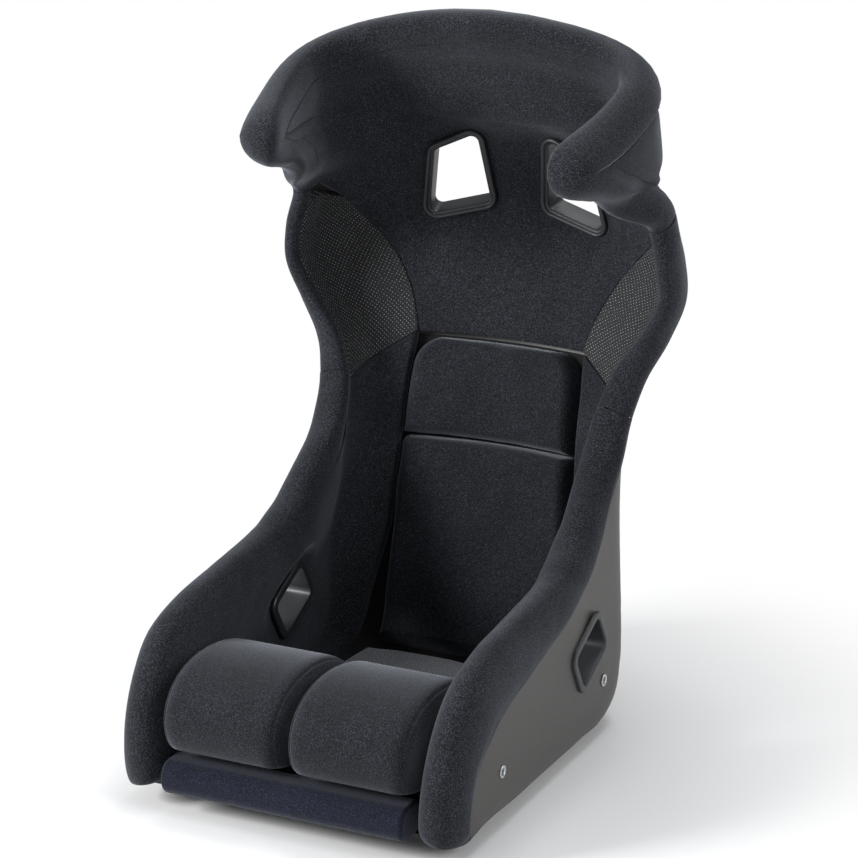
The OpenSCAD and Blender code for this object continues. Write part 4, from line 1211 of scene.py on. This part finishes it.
class SEAT_OT_bar(bpy.types.Operator):
    """Padded cloth-covered bar on the front sill"""
    bl_idname = "seat.bar"
    bl_label = "Front bar"

    def execute(self, context):
        half = THIGH - 7 - SHELL_T - ROLL_IN - 3
        xs = spread(90, -half, half)
        y0, y1 = BAR_FRONT + BAR_R, BAR_REAR - BAR_R
        low, high = SILL_Z + BAR_R, SILL_Z + BAR_H - BAR_R
        out = blob(np.array([[y0, high], [y0, low], [y1, low], [y1, high]]), BAR_R, 12, 14)
        mid = out.mean(0)
        loops = []
        for x in xs:
            d = half - abs(x)
            k = 1 - turned(np.array(d), 5.0) / 22
            sag = 1 + 0.012 * math.sin(x * 0.031 + 0.6)
            o = mid + (out - mid) * [k * sag, k]
            loops.append(np.stack([np.full(len(o), x), o[:, 0], o[:, 1]], -1))
        tube("front_bar_cover", np.array(loops), "bar", stands=("front_bar",), fill=0.9)
        return {"FINISHED"}


def cushion_sheet(u0, u1, corner, names, body):
    """Back cushion between two stations: crowned, its sides drawn in."""
    base_d = BED + LINER_T + 4 * FIT
    us = spread(84, u0, u1)
    height = np.linalg.norm(outer(u1, 0.0) - outer(u0, 0.0))
    d = (u1 - us) / (u1 - u0) * height
    wide = np.minimum(CUSHION_HALF, pad_x(us) - 2.5)
    near = np.clip(corner - d, 0, corner)
    wide = wide - corner + np.sqrt(np.maximum(corner ** 2 - near ** 2, 0))
    xs = spread(72, -1, 1)
    x = wide[:, None] * xs[None]
    u = np.broadcast_to(us[:, None], x.shape)
    w = np.sign(x) * share_at(u, np.abs(x))
    flat = outer(u, w)
    r0, r1, c0, c1 = to_edges(flat)
    foam = mm("foam")
    edge = 1 - np.maximum.reduce([turned(e, foam) / foam for e in (r0, r1, c0, c1)])
    crown = 1 - 0.13 * np.abs(xs[None]) ** 2.2 - 0.05 * np.abs(2 * (us[:, None] - u0) / (u1 - u0) - 1) ** 3
    depth = base_d + CUSHION_T * (0.30 + 0.70 * edge) * crown
    cover = swell(inside(u, w, depth), 75, -mm("wave"))
    pillow(names[0], cover, inside(u, w, base_d), "cushion", stands=(names[1],), fill=0.75, body=body)


class SEAT_OT_back_cushions(bpy.types.Operator):
    """The two removable back cushions"""
    bl_idname = "seat.back_cushions"
    bl_label = "Back cushions"

    def execute(self, context):
        cushion_sheet(CUSHION_LOW, CUSHION_SPLIT, 10.0, ("back_cushion_lower", "cushion_lower"),
                      "lower_cushion")
        cushion_sheet(CUSHION_SPLIT + GAP / 52, CUSHION_TOP, 34.0, ("back_cushion_upper", "cushion_upper"),
                      "upper_cushion")
        return {"FINISHED"}


LEG_LINE = [[-214, 12], [-216, 34], [-224, 47], [-258, 56], [-271, 84], [-266, 112], [-245, 134],
            [-215, 146], [-180, 150], [-145, 147], [-110, 137], [-78, 118], [-56, 90], [-47, 55], [-45, 20]]


def smooth_loop(pts, n):
    """Closed Catmull-Rom curve through pts, n points spaced evenly."""
    pts = np.asarray(pts, float)
    m = len(pts)
    fine = []
    for i in range(m):
        a, b, c, d = pts[i - 1], pts[i], pts[(i + 1) % m], pts[(i + 2) % m]
        fine += [spline(a, b, c, d, t) for t in np.linspace(0, 1, 17)[:-1]]
    fine = np.array(fine + [fine[0]])
    run = np.concatenate([[0], np.cumsum(np.linalg.norm(np.diff(fine, axis=0), axis=1))])
    at = np.linspace(0, run[-1], n + 1)[:-1]
    return np.stack([np.interp(at, run, fine[:, k]) for k in (0, 1)], -1)


class SEAT_OT_leg_cushions(bpy.types.Operator):
    """The two removable leg cushions over the front edge"""
    bl_idname = "seat.leg_cushions"
    bl_label = "Leg cushions"

    def execute(self, context):
        base_d = BED + LINER_T + 2 * FIT
        floor = [inside(u, 0.0, base_d)[1:] for u in (5.5, 5.2, 4.2, 3.3, 2.5, 2)]
        line = smooth_loop(LEG_LINE + [list(p) for p in floor], 160)
        mid = np.array([-150.0, 66.0])
        loops = []
        for x in spread(86, 0, LEG_W):
            e = min(x, LEG_W - x)
            k = 1 - turned(np.array(e), 22.0) / 130 - turned(np.array(e), 5.0) / 75
            k -= 0.016 * math.exp(-((e - 7) / 1.4) ** 2)
            o = mid + (line - mid) * k
            loops.append(np.stack([np.full(len(o), 4 + x), o[:, 0], o[:, 1]], -1))
        for side in (0, -1):
            rim_loop = loops[side]
            centre = rim_loop.mean(0)
            caps = [centre + (rim_loop - centre) * k for k in (0.93, 0.8, 0.55, 0.25, 0.0)]
            loops = caps[::-1] + loops if side == 0 else loops + caps
        loops = np.array(loops)
        for side, mirror in SIDES:
            tube(f"leg_pad_{side}", loops, "cushion", mirror=mirror,
                 stands=(f"leg_cushion_{side}",), fill=0.8, body=f"{side}_leg_cushion")
        return {"FINISHED"}


# ------------------------------------------------------------------ bezels


class SEAT_OT_bezels(bpy.types.Operator):
    """Plastic bezels and sleeves of the four harness slots"""
    bl_idname = "seat.bezels"
    bl_label = "Slot bezels"

    def execute(self, context):
        r, f = CORNER, CORNER + BEZEL_W
        z = SHELL_T + PANEL_T - 3 + FIT
        bead = [(r + 3.2 + (f - r - 3.2) / 2 - (f - r - 3.2) / 2 * math.cos(a), z + 3.0 + 4.0 * math.sin(a))
                for a in np.linspace(0.15, math.pi, 13)]
        front = [(r, -8), (r, z + 1.0), (r + 0.3, z + 2.2), (r + 1.0, z + 2.9), (r + 2.6, z + 3.1)] + bead \
            + [(f, z + 1.0), (f - 0.4, z), (r + SLEEVE_T, z), (r + SLEEVE_T, -8)]
        s = -SHELL_T - SIDE_T - BEZEL_T - 10 * FIT
        flat = [(r, s), (r, FIT + 1.6), (r + 0.5, FIT + 3.2), (r + 1.2, FIT + BEZEL_T - 0.15),
                (r + 2.0, FIT + BEZEL_T), (f - 1.6, FIT + BEZEL_T), (f - 0.6, FIT + BEZEL_T - 0.4),
                (f, FIT + BEZEL_T - 1.4), (f, FIT), (r + SLEEVE_T, FIT), (r + SLEEVE_T, s)]
        k = r + SLEEVE_T + FIT
        back = [(k, -10), (k, -3 * FIT), (f, -3 * FIT), (f, -5.0), (f - 1.2, -7.5), (f - 4, -10)]
        inner = [(k, s), (f - 1.5, s), (f, s + 1.4), (f, s + BEZEL_T), (k, s + BEZEL_T)]
        for side, mirror in SIDES:
            for name, node, pts, line, place in (
                    ("shoulder_bezel", "slot_bezel", SLOT_PTS, front, slot_place),
                    ("shoulder_ring", "slot_back", SLOT_PTS, back, slot_place),
                    ("lap_frame", "lap_bezel", LAP_PTS, flat, lap_place),
                    ("lap_collar", "lap_inner", LAP_PTS, inner, lap_place)):
                tube(f"{name}_{side}", swept(pts, line, place), "bezel", closed=True, mirror=mirror,
                     stands=(f"{node}_{side}",), sharp=35)
        return {"FINISHED"}


class SEAT_PT_panel(bpy.types.Panel):
    """Sizes, colours and pieces of the seat"""
    bl_label = "Competition seat"
    bl_idname = "SEAT_PT_panel"
    bl_space_type = "VIEW_3D"
    bl_region_type = "UI"
    bl_category = "Seat"

    def draw(self, context):
        for group in (context.scene.seat_sizes, context.scene.seat_colours):
            box = self.layout.box()
            for key in group.__annotations__:
                box.prop(group, key)
        for piece in PIECES:
            self.layout.operator(piece.bl_idname)


PIECES = (SEAT_OT_stage, SEAT_OT_shell, SEAT_OT_inserts, SEAT_OT_bolsters, SEAT_OT_shoulders,
          SEAT_OT_head, SEAT_OT_lining, SEAT_OT_pan, SEAT_OT_bar, SEAT_OT_back_cushions,
          SEAT_OT_leg_cushions, SEAT_OT_bezels)
CLASSES = (SeatSizes, SeatColours, *PIECES, SEAT_PT_panel)


def register():
    for item in CLASSES:
        bpy.utils.register_class(item)
    bpy.types.Scene.seat_sizes = bpy.props.PointerProperty(type=SeatSizes)
    bpy.types.Scene.seat_colours = bpy.props.PointerProperty(type=SeatColours)


def unregister():
    del bpy.types.Scene.seat_colours
    del bpy.types.Scene.seat_sizes
    for item in reversed(CLASSES):
        bpy.utils.unregister_class(item)


def main():
    register()
    for piece in PIECES:
        group, name = piece.bl_idname.split(".")
        getattr(getattr(bpy.ops, group), name)()


if __name__ == "__main__":
    main()
